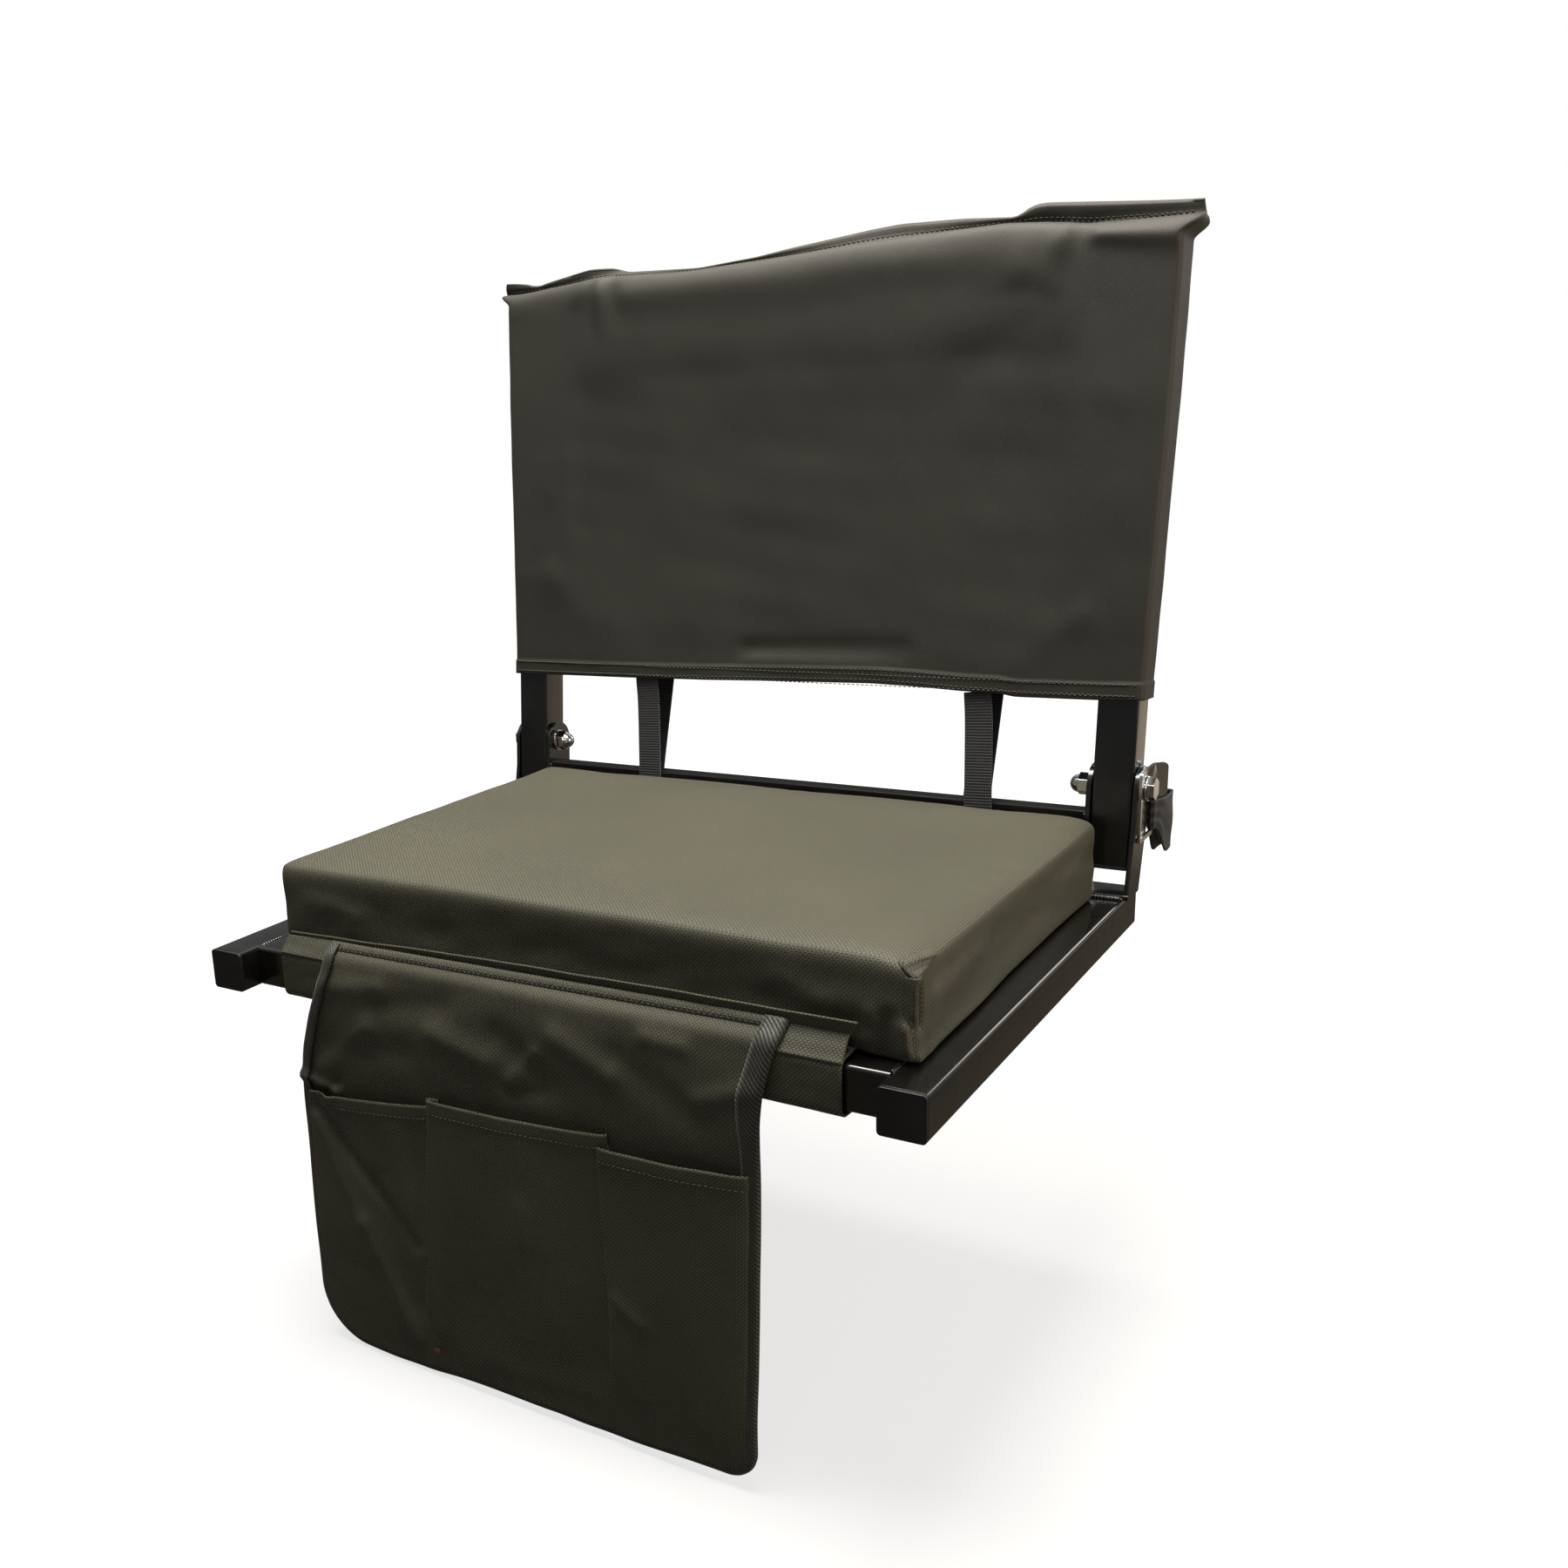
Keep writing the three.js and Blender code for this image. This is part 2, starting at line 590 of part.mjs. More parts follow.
// Back cover: a bag over the back frame, in (X, n, s)
function coverSkin(clothOutside, foot) {
  const halfX = HALF_WIDTH + CLOTH_GAP + clothOutside;
  const halfN = HALF_TUBE + CLOTH_GAP + clothOutside;
  const top = BACK_ABOVE + CLOTH_GAP + clothOutside;
  const halfS = (top - foot) / 2;
  const middleS = (top + foot) / 2;
  const radius = COVER_CORNER - COVER_CLOTH + clothOutside;
  const freeSpan = INNER_HALF - TUBE;
  const freeTop = BACK_ABOVE - TUBE * 2;
  const place = (u, v, w) => {
    const round = roundPoint([u * halfX, v * halfN, w * halfS], [halfX, halfN, halfS], radius);
    const rise = smoothStep(round[2], -halfS, halfS);
    const aboveHem = middleS + round[2];
    const across = bump(round[0], 0, freeSpan);
    const droop = across * bump(aboveHem, (COVER_HEM + freeTop) / 2, (freeTop - COVER_HEM) / 2);
    const slack = round[1] < 0 ? COVER_FRONT_SLACK : -COVER_REAR_SLACK;
    const creasePlace = INNER_HALF - COVER_CREASE_WIDTH * CREASE_SETBACK_SHARE;
    const crease = bump(Math.abs(round[0]), creasePlace, COVER_CREASE_WIDTH) * rise * (1 - rise);
    const depthShare = round[1] / halfN;
    const lift = topRise(round[0]) * smoothStep(w, 0, 1) * rise;
    return [
      round[0] * (1 + (COVER_TOP_FLARE / halfX) * rise),
      round[1] + slack * droop * Math.abs(depthShare) + COVER_CREASE * crease * depthShare,
      middleS + round[2] + lift,
    ];
  };
  const halves = [halfX, halfN, halfS];
  const steps = halves.map((half, axis) => edgedSteps(half, radius, COVER_STEPS[axis]));
  return latticeSolid(...steps, place);
}

function topSeamFin() {
  const half = HALF_WIDTH + CLOTH_GAP + COVER_CLOTH + COVER_TOP_FLARE + FIN_OVERHANG;
  const root = BACK_ABOVE + CLOTH_GAP + COVER_CLOTH - FIN_ROOT;
  const foldStart = INNER_HALF - COVER_CREASE_WIDTH * FIN_FOLD_SHARE;
  const place = (u, v, w) => {
    const x = u * half;
    const standing = smoothStep(Math.abs(x), foldStart, INNER_HALF);
    const height = FIN_FOLDED_HEIGHT + (FIN_HEIGHT - FIN_FOLDED_HEIGHT) * standing;
    return [x, (v * FIN_THICKNESS) / 2, root + topRise(x) + w * height];
  };
  return latticeSolid(evenSteps(-1, 1, FIN_STEPS), [-1, 1], [0, 1], place);
}

function backCover() {
  const outer = coverSkin(COVER_CLOTH, COVER_HEM);
  const inner = coverSkin(0, COVER_HEM - COVER_STRAP_TUCK);
  return leanGeometry(join(cut(outer, inner), topSeamFin()));
}

// A webbing loop round the bar: each stop on the run is [sideways drift, inside point, outside point]
function coverStrap(centre) {
  const barTop = PIVOT_HEIGHT - BAR_DROP;
  const barBottom = barTop - BAR;
  const hemFace = HALF_TUBE - FIT_GAP - COVER_STRAP_THICKNESS;
  const stops = [COVER_STRAP_THICKNESS, 0].map((gap) => [
    leanPoint(-hemFace - gap, COVER_HEM + COVER_STRAP_TUCK),
    leanPoint(-hemFace - gap, COVER_HEM),
    [BAR_FRONT_Y - CLOTH_GAP - gap, barTop],
    [BAR_FRONT_Y - CLOTH_GAP - gap, barBottom - CLOTH_GAP - gap],
    [BAR_FRONT_Y + BAR + CLOTH_GAP + gap, barBottom - CLOTH_GAP - gap],
    [BAR_FRONT_Y + BAR + CLOTH_GAP + gap, barTop],
    leanPoint(hemFace + gap, COVER_HEM),
    leanPoint(hemFace + gap, COVER_HEM + COVER_STRAP_TUCK),
  ]);
  const atBack = COVER_STRAP_DRIFT - COVER_STRAP_SKEW;
  const drifts = [0, 0, COVER_STRAP_DRIFT, COVER_STRAP_DRIFT, atBack, atBack, 0, 0];
  const place = (u, v, w) => {
    const [y, z] = stops[w][u];
    return [centre + drifts[u] + (v * COVER_STRAP_WIDTH) / 2, y, z];
  };
  return latticeSolid(drifts.map((_, i) => i), [1, -1], [0, 1], place);
}

function addBackCover() {
  addPiece('back_cover', backCover(), WOVEN);
  addPiece('left_cover_strap', coverStrap(LEFT_COVER_STRAP_CENTRE), WEBBING);
  addPiece('right_cover_strap', coverStrap(RIGHT_COVER_STRAP_CENTRE), WEBBING);
}

// Seat deck: one cloth with a sleeve round each cross tube and a ramp up to the cushion's seam
function seatDeck() {
  const under = -CLOTH_GAP - DECK_CLOTH;
  const sleeveReach = TUBE + (CLOTH_GAP + DECK_CLOTH) * 2;
  const rearFront = REAR_TUBE_Y - CLOTH_GAP - DECK_CLOTH;
  const deckUnder = DECK_TOP - DECK_CLOTH;
  const rampFoot = DECK_FRONT + DECK_CLOTH * 2;
  const outline = polygon([
    [DECK_FRONT, under],
    [DECK_FRONT + sleeveReach, under],
    [DECK_FRONT + sleeveReach, deckUnder],
    [rearFront, deckUnder],
    [rearFront, under],
    [rearFront + sleeveReach, under],
    [rearFront + sleeveReach, DECK_TOP],
    [rampFoot + DECK_CLOTH, DECK_TOP],
    [DECK_FRONT + DECK_RAMP_RUN + DECK_CLOTH, DECK_TOP + DECK_RAMP_TOP - DECK_CLOTH],
    [DECK_FRONT + DECK_RAMP_RUN, DECK_TOP + DECK_RAMP_TOP],
    [DECK_FRONT, DECK_TOP],
  ]);
  for (const tubeY of [FRONT_TUBE_SETBACK, REAR_TUBE_Y]) {
    const lower = -CLOTH_GAP;
    const upper = TUBE + CLOTH_GAP;
    const hole = new THREE.Path([
      new THREE.Vector2(tubeY - CLOTH_GAP, lower),
      new THREE.Vector2(tubeY + TUBE + CLOTH_GAP, lower),
      new THREE.Vector2(tubeY + TUBE + CLOTH_GAP, upper),
      new THREE.Vector2(tubeY - CLOTH_GAP, upper),
    ]);
    outline.holes.push(hole);
  }
  return extrudeAlongX(outline, -DECK_HALF_WIDTH, DECK_HALF_WIDTH);
}

// Seat cushion: crowned top, sides that bulge between seams and seams drawn in along each side
function seatCushion() {
  const halves = [CUSHION_WIDTH / 2, CUSHION_LENGTH / 2, CUSHION_HEIGHT / 2];
  const place = (u, v, w) => {
    const [x, y, z] = roundPoint([u * halves[0], v * halves[1], w * halves[2]], halves, CUSHION_EDGE);
    const shareX = x / halves[0];
    const shareY = y / halves[1];
    const shareZ = z / halves[2];
    const middle = (1 - shareX * shareX) * (1 - shareY * shareY);
    const bulge = CUSHION_SIDE_BULGE * (1 - shareZ * shareZ);
    const drawX = CUSHION_DRAW_IN * (1 - shareY * shareY);
    const drawY = CUSHION_DRAW_IN * (1 - shareX * shareX);
    return [
      x + shareX * (bulge - drawX),
      y + shareY * (bulge - drawY),
      z + CUSHION_CROWN * middle * Math.max(0, shareZ),
    ];
  };
  const steps = halves.map((half, axis) => edgedSteps(half, CUSHION_EDGE, CUSHION_STEPS[axis]));
  const cushion = latticeSolid(...steps, place);
  const middleY = CUSHION_FRONT + CUSHION_LENGTH / 2;
  return cushion.translate(CUSHION_SIDE_SHIFT, middleY, DECK_TOP + FIT_GAP + CUSHION_HEIGHT / 2);
}

function addSeat() {
  addPiece('seat_deck', seatDeck(), WOVEN);
  addPiece('seat_cushion', seatCushion(), WOVEN);
}

// Pocket panel: outline in (X, Z), drawn in from its edge by inset; its sides lean out to the bend
function panelLeftAt(z) {
  const cornerZ = PANEL_BOTTOM + PANEL_LEFT_RADIUS;
  const share = Math.min(1, Math.max(0, (z - cornerZ) / (PANEL_SHOULDER_Z - cornerZ)));
  return PANEL_LEFT + (PANEL_SHOULDER_LEFT - PANEL_LEFT) * share;
}

function panelOutline(inset, top) {
  const left = PANEL_LEFT + inset;
  const right = PANEL_RIGHT - inset;
  const bottom = PANEL_BOTTOM + inset;
  const leftRadius = PANEL_LEFT_RADIUS - inset;
  const rightRadius = PANEL_RIGHT_RADIUS - inset;
  const leftSlope = (PANEL_TOP_LEFT - PANEL_SHOULDER_LEFT) / (PANEL_AXIS_Z - PANEL_SHOULDER_Z);
  const rightSlope = (PANEL_TOP_RIGHT - PANEL_RIGHT) / (PANEL_AXIS_Z - PANEL_NECK_Z);
  const outline = new THREE.Shape();
  outline.moveTo(right, PANEL_NECK_Z);
  outline.lineTo(right + rightSlope * (top - PANEL_NECK_Z), top);
  outline.lineTo(PANEL_SHOULDER_LEFT + leftSlope * (top - PANEL_SHOULDER_Z) + inset, top);
  outline.lineTo(PANEL_SHOULDER_LEFT + inset, PANEL_SHOULDER_Z);
  outline.absarc(left + leftRadius, bottom + leftRadius, leftRadius, Math.PI, Math.PI * 1.5);
  outline.absarc(right - rightRadius, bottom + rightRadius, rightRadius, -Math.PI / 2, 0);
  outline.closePath();
  return outline;
}

function panelBinding() {
  const top = PANEL_AXIS_Z - BINDING_TOP_DROP;
  const inFront = PANEL_FRONT_Y - FIT_GAP;
  const behind = PANEL_BACK_Y + FIT_GAP;
  const front = inFront - BINDING_CLOTH;
  const back = behind + BINDING_CLOTH;
  const band = extrudeAlongY(panelOutline(-FIT_GAP - BINDING_CLOTH, top), front, back, PANEL_CORNER_STEPS);
  const window = panelOutline(BINDING_WIDTH, top + CUT_OVERRUN);
  const opening = extrudeAlongY(window, front - CUT_OVERRUN, back + CUT_OVERRUN, PANEL_CORNER_STEPS);
  const clothSpace = panelOutline(-FIT_GAP, top + CUT_OVERRUN);
  const slab = extrudeAlongY(clothSpace, inFront, behind, PANEL_CORNER_STEPS);
  return cut(band, opening, slab);
}

// The flap lies on the deck's ramp, from the cushion's seam down to the panel's bend
function panelFlap() {
  const rampLength = Math.hypot(DECK_RAMP_RUN, DECK_RAMP_TOP);
  const alongY = DECK_RAMP_RUN / rampLength;
  const alongZ = DECK_RAMP_TOP / rampLength;
  const onRamp = (along, out) => [
    DECK_FRONT + alongY * along - alongZ * out,
    DECK_TOP + alongZ * along + alongY * out,
  ];
  const outline = polygon([
    onRamp(FLAP_END_GAP, FIT_GAP),
    onRamp(rampLength, FIT_GAP),
    onRamp(rampLength, FIT_GAP + PANEL_CLOTH),
    onRamp(FLAP_END_GAP, FIT_GAP + PANEL_CLOTH),
  ]);
  return extrudeAlongX(outline, PANEL_TOP_LEFT, PANEL_TOP_RIGHT);
}

// Pocket shell between two seams; its inside is the same shape drawn in by the cloth
function pocketSkin(spot, inset, overTop) {
  const bottom = PANEL_BOTTOM + BINDING_WIDTH + FIT_GAP + inset;
  const trim = BINDING_WIDTH + FIT_GAP + inset;
  const leftCorner = PANEL_LEFT_RADIUS - trim;
  const rightCorner = PANEL_RIGHT_RADIUS - trim;
  const cornerInset = (radius, above) => {
    const drop = Math.max(0, radius - above);
    return radius - Math.sqrt(Math.max(0, radius * radius - drop * drop));
  };
  const place = (u, v, w) => {
    const top = spot.leftTop + (spot.rightTop - spot.leftTop) * u;
    const z = bottom + w * (top - bottom);
    const above = z - bottom;
    const x0 = spot.first ? panelLeftAt(z) + trim + cornerInset(leftCorner, above) : spot.left + inset;
    const x1 = spot.last ? PANEL_RIGHT - trim - cornerInset(rightCorner, above) : spot.right - inset;
    const arch = Math.sqrt(Math.max(0, 1 - (2 * u - 1) ** 2));
    const depth = POCKET_SIDE_DEPTH + (POCKET_DEPTH - POCKET_SIDE_DEPTH) * arch - inset;
    const back = inset > 0 ? CUT_OVERRUN : 0;
    const sag = w === 1 ? POCKET_SAG * arch : 0;
    const y = PANEL_FRONT_Y + back - (depth + back) * (1 - v);
    return [x0 + u * (x1 - x0), y, z - sag + (w === 1 ? overTop : 0)];
  };
  const heightShares = [...POCKET_FOOT_SHARES, ...POCKET_UPPER_SHARES];
  return latticeSolid(evenSteps(0, 1, POCKET_STEPS), [0, 1], heightShares, place);
}

function pocket(spot) {
  const shell = pocketSkin(spot, 0, 0);
  const space = pocketSkin(spot, POCKET_CLOTH, CUT_OVERRUN + POCKET_SAG);
  return cut(shell, space);
}

function addPocketPanel() {
  const top = PANEL_AXIS_Z - PANEL_TOP_TRIM;
  const panel = extrudeAlongY(panelOutline(0, top), PANEL_FRONT_Y, PANEL_BACK_Y, PANEL_CORNER_STEPS);
  addPiece('pocket_panel_flap', panelFlap(), WOVEN);
  addPiece('pocket_panel', panel, WOVEN);
  addPiece('panel_binding', panelBinding(), WEBBING);
  ['left', 'middle', 'right'].forEach((name, i) => {
    const spot = {
      left: POCKET_SEAMS[i - 1] + FIT_GAP / 2,
      right: POCKET_SEAMS[i] - FIT_GAP / 2,
      leftTop: POCKET_LEFT_TOPS[i],
      rightTop: POCKET_RIGHT_TOPS[i],
      first: i === 0,
      last: i === POCKET_SEAMS.length,
    };
    addPiece(`${name}_pocket`, pocket(spot), WOVEN);
  });
}

// Strap plate: a flat hanger with a window under the bolt and a tab turned out at its upper rear
function strapPlate() {
  const half = (PLATE_FRONT + PLATE_REAR) / 2;
  const height = PLATE_TOP + PLATE_BOTTOM;
  const hangerFace = roundedRect(half, height / 2, PLATE_CORNER);
  const hanger = extrudeAlongX(hangerFace, PLATE_INNER, PLATE_OUTER, PLATE_CORNER_STEPS);
  const middleY = PIVOT_Y + (PLATE_REAR - PLATE_FRONT) / 2;
  hanger.translate(0, middleY, PIVOT_HEIGHT + (PLATE_TOP - PLATE_BOTTOM) / 2);
  const tabFace = roundedRect((TAB_LENGTH + PLATE_CORNER) / 2, (PLATE_TOP + TAB_BOTTOM) / 2, PLATE_CORNER);
  const tab = extrudeAlongX(tabFace, -PLATE_THICKNESS, 0, PLATE_CORNER_STEPS);
  tab.translate(0, (TAB_LENGTH - PLATE_CORNER) / 2, 0);
  tab.rotateZ(-THREE.MathUtils.degToRad(TAB_TURN_DEGREES));
  const tabMiddle = PIVOT_HEIGHT + (PLATE_TOP - TAB_BOTTOM) / 2;
  tab.translate(PLATE_OUTER, PIVOT_Y + PLATE_REAR - PLATE_THICKNESS, tabMiddle);
  const keep = boxBetween(
    PLATE_INNER, PLATE_OUTER + TAB_LENGTH,
    PIVOT_Y, PIVOT_Y + PLATE_REAR + TAB_LENGTH,
    PIVOT_HEIGHT - PLATE_BOTTOM, PIVOT_HEIGHT + PLATE_TOP,
  );
  const outward = geometryFrom(solidFrom(tab).intersect(solidFrom(keep)));
  const slot = boxBetween(
    PLATE_INNER - CUT_OVERRUN, PLATE_OUTER + CUT_OVERRUN,
    PIVOT_Y - SLOT_FRONT, PIVOT_Y + SLOT_REAR,
    PIVOT_HEIGHT - SLOT_BOTTOM, PIVOT_HEIGHT - SLOT_TOP,
  );
  const hole = pivotBar(HOLE_RADIUS, PLATE_INNER - CUT_OVERRUN, PLATE_OUTER + CUT_OVERRUN, ROUND_SIDES);
  return cut(join(hanger, outward), slot, hole);
}

// The webbing's centre line seen from above, as (X, Y) from the pivot: in behind the window's rear
// bar, round it, out to the fold and back to lie on its own start
function loopRoute() {
  const inside = PLATE_INNER - CLOTH_GAP - LOOP_THICKNESS / 2;
  const outside = PLATE_OUTER + CLOTH_GAP + LOOP_THICKNESS / 2;
  const turn = SLOT_REAR - CLOTH_GAP - LOOP_THICKNESS / 2;
  const lapped = inside - LOOP_THICKNESS - CLOTH_GAP;
  const sewnEnd = PLATE_REAR + LOOP_SEWN_LENGTH;
  const beforeFold = LOOP_REACH - LOOP_DEPTH / 2;
  const stops = [
    [inside, sewnEnd],
    [inside, PLATE_REAR],
    [inside, SLOT_REAR],
    [(inside + outside) / 2, turn],
    [outside, SLOT_REAR],
    [outside, PLATE_REAR],
    [outside + LOOP_OUTSET, sewnEnd],
    [outside + LOOP_OUTSET, beforeFold],
    [outside + LOOP_OUTSET - LOOP_DEPTH / 2, LOOP_REACH],
    [outside + LOOP_OUTSET - LOOP_DEPTH, beforeFold],
    [outside + LOOP_OUTSET - LOOP_DEPTH, sewnEnd + LOOP_SEWN_LENGTH],
    [lapped, sewnEnd],
    [lapped, PLATE_REAR + LOOP_THICKNESS],
  ];
  return new THREE.CatmullRomCurve3(stops.map(([x, y]) => new THREE.Vector3(x, y, 0)), false, 'centripetal');
}

function strapLoop() {
  const route = loopRoute();
  const place = (u, v, w) => {
    const centre = route.getPoint(u);
    const along = route.getTangent(u);
    const spread = smoothStep(centre.y, PLATE_REAR, PLATE_REAR + LOOP_SEWN_LENGTH * 2);
    const width = LOOP_GATHERED_WIDTH + (LOOP_WIDTH - LOOP_GATHERED_WIDTH) * spread;
    const drop = LOOP_GATHERED_DROP + (LOOP_DROP - LOOP_GATHERED_DROP) * spread;
    const shift = (v * LOOP_THICKNESS) / 2;
    return [
      centre.x + along.y * shift,
      PIVOT_Y + centre.y - along.x * shift,
      PIVOT_HEIGHT - drop + (w * width) / 2,
    ];
  };
  return latticeSolid(evenSteps(0, 1, LOOP_STEPS), [1, -1], evenSteps(-1, 1, LOOP_STEPS_ACROSS), place);
}

function addStrapPlate() {
  addRight('strap_plate', strapPlate(), CHROME);
  addPiece('strap_loop', strapLoop().translate(UPRIGHT_CENTRE, 0, 0), WEBBING);
}

addSeatFrame();
addHinges();
addRearBar();
addBackFrame();
addBackCover();
addSeat();
addPocketPanel();
addStrapPlate();

export default seat;
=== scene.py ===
# %% [markdown]
# # A folding stadium seat
# The real seat is a square-tube steel frame that rests on a bench. It has a boxed cushion, a cloth
# bag pulled over the folding back, and a panel with three pockets that hangs over the front tube.
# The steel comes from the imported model. Every soft piece is worked out here as a surface on a grid.

import json
import math
from contextlib import contextmanager

import bmesh
import bpy
import numpy as np
from mathutils import Matrix, Vector

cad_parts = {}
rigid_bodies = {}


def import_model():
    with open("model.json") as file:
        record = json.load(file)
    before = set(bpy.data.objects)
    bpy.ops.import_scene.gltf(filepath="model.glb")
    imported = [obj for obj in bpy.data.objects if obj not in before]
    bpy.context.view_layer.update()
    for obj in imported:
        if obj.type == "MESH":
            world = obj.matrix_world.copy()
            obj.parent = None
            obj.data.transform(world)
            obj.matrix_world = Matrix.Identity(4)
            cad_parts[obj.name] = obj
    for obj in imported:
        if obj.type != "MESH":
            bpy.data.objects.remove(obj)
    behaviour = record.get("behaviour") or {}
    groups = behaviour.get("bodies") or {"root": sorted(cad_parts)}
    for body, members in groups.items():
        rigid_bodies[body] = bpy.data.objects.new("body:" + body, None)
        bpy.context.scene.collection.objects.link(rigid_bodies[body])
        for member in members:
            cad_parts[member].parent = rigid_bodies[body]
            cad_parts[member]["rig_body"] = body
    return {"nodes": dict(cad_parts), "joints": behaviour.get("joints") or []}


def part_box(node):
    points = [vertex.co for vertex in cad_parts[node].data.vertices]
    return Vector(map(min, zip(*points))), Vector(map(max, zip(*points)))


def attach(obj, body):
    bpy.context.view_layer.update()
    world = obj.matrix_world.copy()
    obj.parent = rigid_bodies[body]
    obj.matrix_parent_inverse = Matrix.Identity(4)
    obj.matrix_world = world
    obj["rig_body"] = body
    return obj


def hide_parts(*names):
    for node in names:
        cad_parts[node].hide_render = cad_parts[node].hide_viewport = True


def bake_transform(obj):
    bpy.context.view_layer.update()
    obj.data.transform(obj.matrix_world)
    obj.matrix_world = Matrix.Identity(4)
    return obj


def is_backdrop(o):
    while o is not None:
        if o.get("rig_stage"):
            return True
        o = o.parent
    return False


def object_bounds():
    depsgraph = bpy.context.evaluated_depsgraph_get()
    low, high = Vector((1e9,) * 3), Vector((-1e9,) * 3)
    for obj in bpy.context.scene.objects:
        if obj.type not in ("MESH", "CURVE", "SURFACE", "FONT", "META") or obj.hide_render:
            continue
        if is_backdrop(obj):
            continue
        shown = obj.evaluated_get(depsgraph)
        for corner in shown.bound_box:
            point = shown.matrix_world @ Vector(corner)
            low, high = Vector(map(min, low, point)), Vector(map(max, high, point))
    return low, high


MM = 0.001
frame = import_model()
nodes = frame["nodes"]
cad_low, cad_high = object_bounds()
print("CAD nodes:", len(nodes), "box from", tuple(cad_low), "to", tuple(cad_high))

# %% [markdown]
# ## The camera
# A photograph is matched by putting the camera where the photographer stood. The place and the angles
# were worked out from the edges of the tubes. The picture was cropped off its middle, so the lens is
# shifted by the same share of its width.

# %% Camera
CAMERA_PLACE_MM = (479.0, -614.4, 331.0)
CAMERA_YAW = 34.61
CAMERA_PITCH = -15.67
CAMERA_ROLL = -3.08
PHOTO_PIXELS = 1800
FOCAL_PIXELS = 1743.7
OPTICAL_CENTRE_PIXELS = (674.1, 979.4)
SENSOR_MM = 36

camera = bpy.data.objects.new("camera", bpy.data.cameras.new("camera"))
camera.data.sensor_width = SENSOR_MM
camera.data.lens = SENSOR_MM * FOCAL_PIXELS / PHOTO_PIXELS
camera.data.shift_x = 0.5 - OPTICAL_CENTRE_PIXELS[0] / PHOTO_PIXELS
camera.data.shift_y = OPTICAL_CENTRE_PIXELS[1] / PHOTO_PIXELS - 0.5
aim = Matrix.Rotation(math.radians(CAMERA_YAW), 4, "Z")
aim = aim @ Matrix.Rotation(math.radians(90 + CAMERA_PITCH), 4, "X")
aim = aim @ Matrix.Rotation(math.radians(CAMERA_ROLL), 4, "Z")
camera.matrix_world = Matrix.Translation([value * MM for value in CAMERA_PLACE_MM]) @ aim
bpy.context.scene.collection.objects.link(camera)
bpy.context.scene.camera = camera
print("lens", round(camera.data.lens, 2), "mm")

# %% [markdown]
# ## Colours and nodes
# Colours are written as they look on a screen. A shader works in linear light, so one function turns
# each pair of hex digits into a linear value. Another small function adds a node, with its settings and
# its links, so that a material reads from top to bottom.


# %% Material helpers
def linear(hex_colour):
    """Linear RGBA from sRGB hex: c/12.92 below 0.04045, else ((c+0.055)/1.055)^2.4."""
    channels = np.array([int(hex_colour[i : i + 2], 16) / 255 for i in (1, 3, 5)])
    curved = ((channels + 0.055) / 1.055) ** 2.4
    return (*np.where(channels <= 0.04045, channels / 12.92, curved), 1.0)


def set_inputs(tree, node, inputs):
    """Sets or links each named input. A node given as a value stands for its first output."""
    for name, value in inputs.items():
        if isinstance(value, bpy.types.Node):
            value = value.outputs[0]
        if isinstance(value, bpy.types.NodeSocket):
            tree.links.new(value, node.inputs[name])
        else:
            node.inputs[name].default_value = value


def add_node(tree, kind, inputs=None, **settings):
    """Adds a shader node with its properties and its inputs."""
    made = tree.nodes.new("ShaderNode" + kind)
    for name, value in settings.items():
        setattr(made, name, value)
    set_inputs(tree, made, inputs or {})
    return made


def new_material(name):
    """An empty node material with its shader and output, as (material, tree, shader)."""
    material = bpy.data.materials.new(name)
    material.use_nodes = True
    tree = material.node_tree
    tree.nodes.clear()
    shader = add_node(tree, "BsdfPrincipled")
    add_node(tree, "OutputMaterial", {"Surface": shader.outputs["BSDF"]})
    return material, tree, shader


def blend_colours(tree, share, first, second):
    """A colour that goes from first to second as share goes from 0 to 1."""
    mix = add_node(tree, "Mix", {0: share, 6: first, 7: second}, data_type="RGBA")
    return mix.outputs[2]


# %% [markdown]
# ## Woven polyester
# The cushion, the cover and the pocket panel are sewn from coarse plain-woven polyester with a thin coat
# behind it. Its threads cross over and under like a basket, which gives a dotted grain and a soft
# sheen. Real threads lie about 0.7 mm apart. They are drawn 1.2 mm apart, so that they show in a render.
# The pattern reads a UV map in metres of cloth, so it turns with each surface and never stretches.

# %% Woven polyester
THREAD_PITCH_MM = 1.2
SLUB_SIZE_MM = 0.9
FADE_SIZE_MM = 130
# Spun polyester is matt, with a weak pale sheen from its fibre ends
YARN_SURFACE = {"Roughness": 0.62, "Specular IOR Level": 0.4, "Sheen Weight": 0.1}
YARN_SURFACE |= {"Sheen Roughness": 0.45, "Sheen Tint": linear("#8f8c78")}


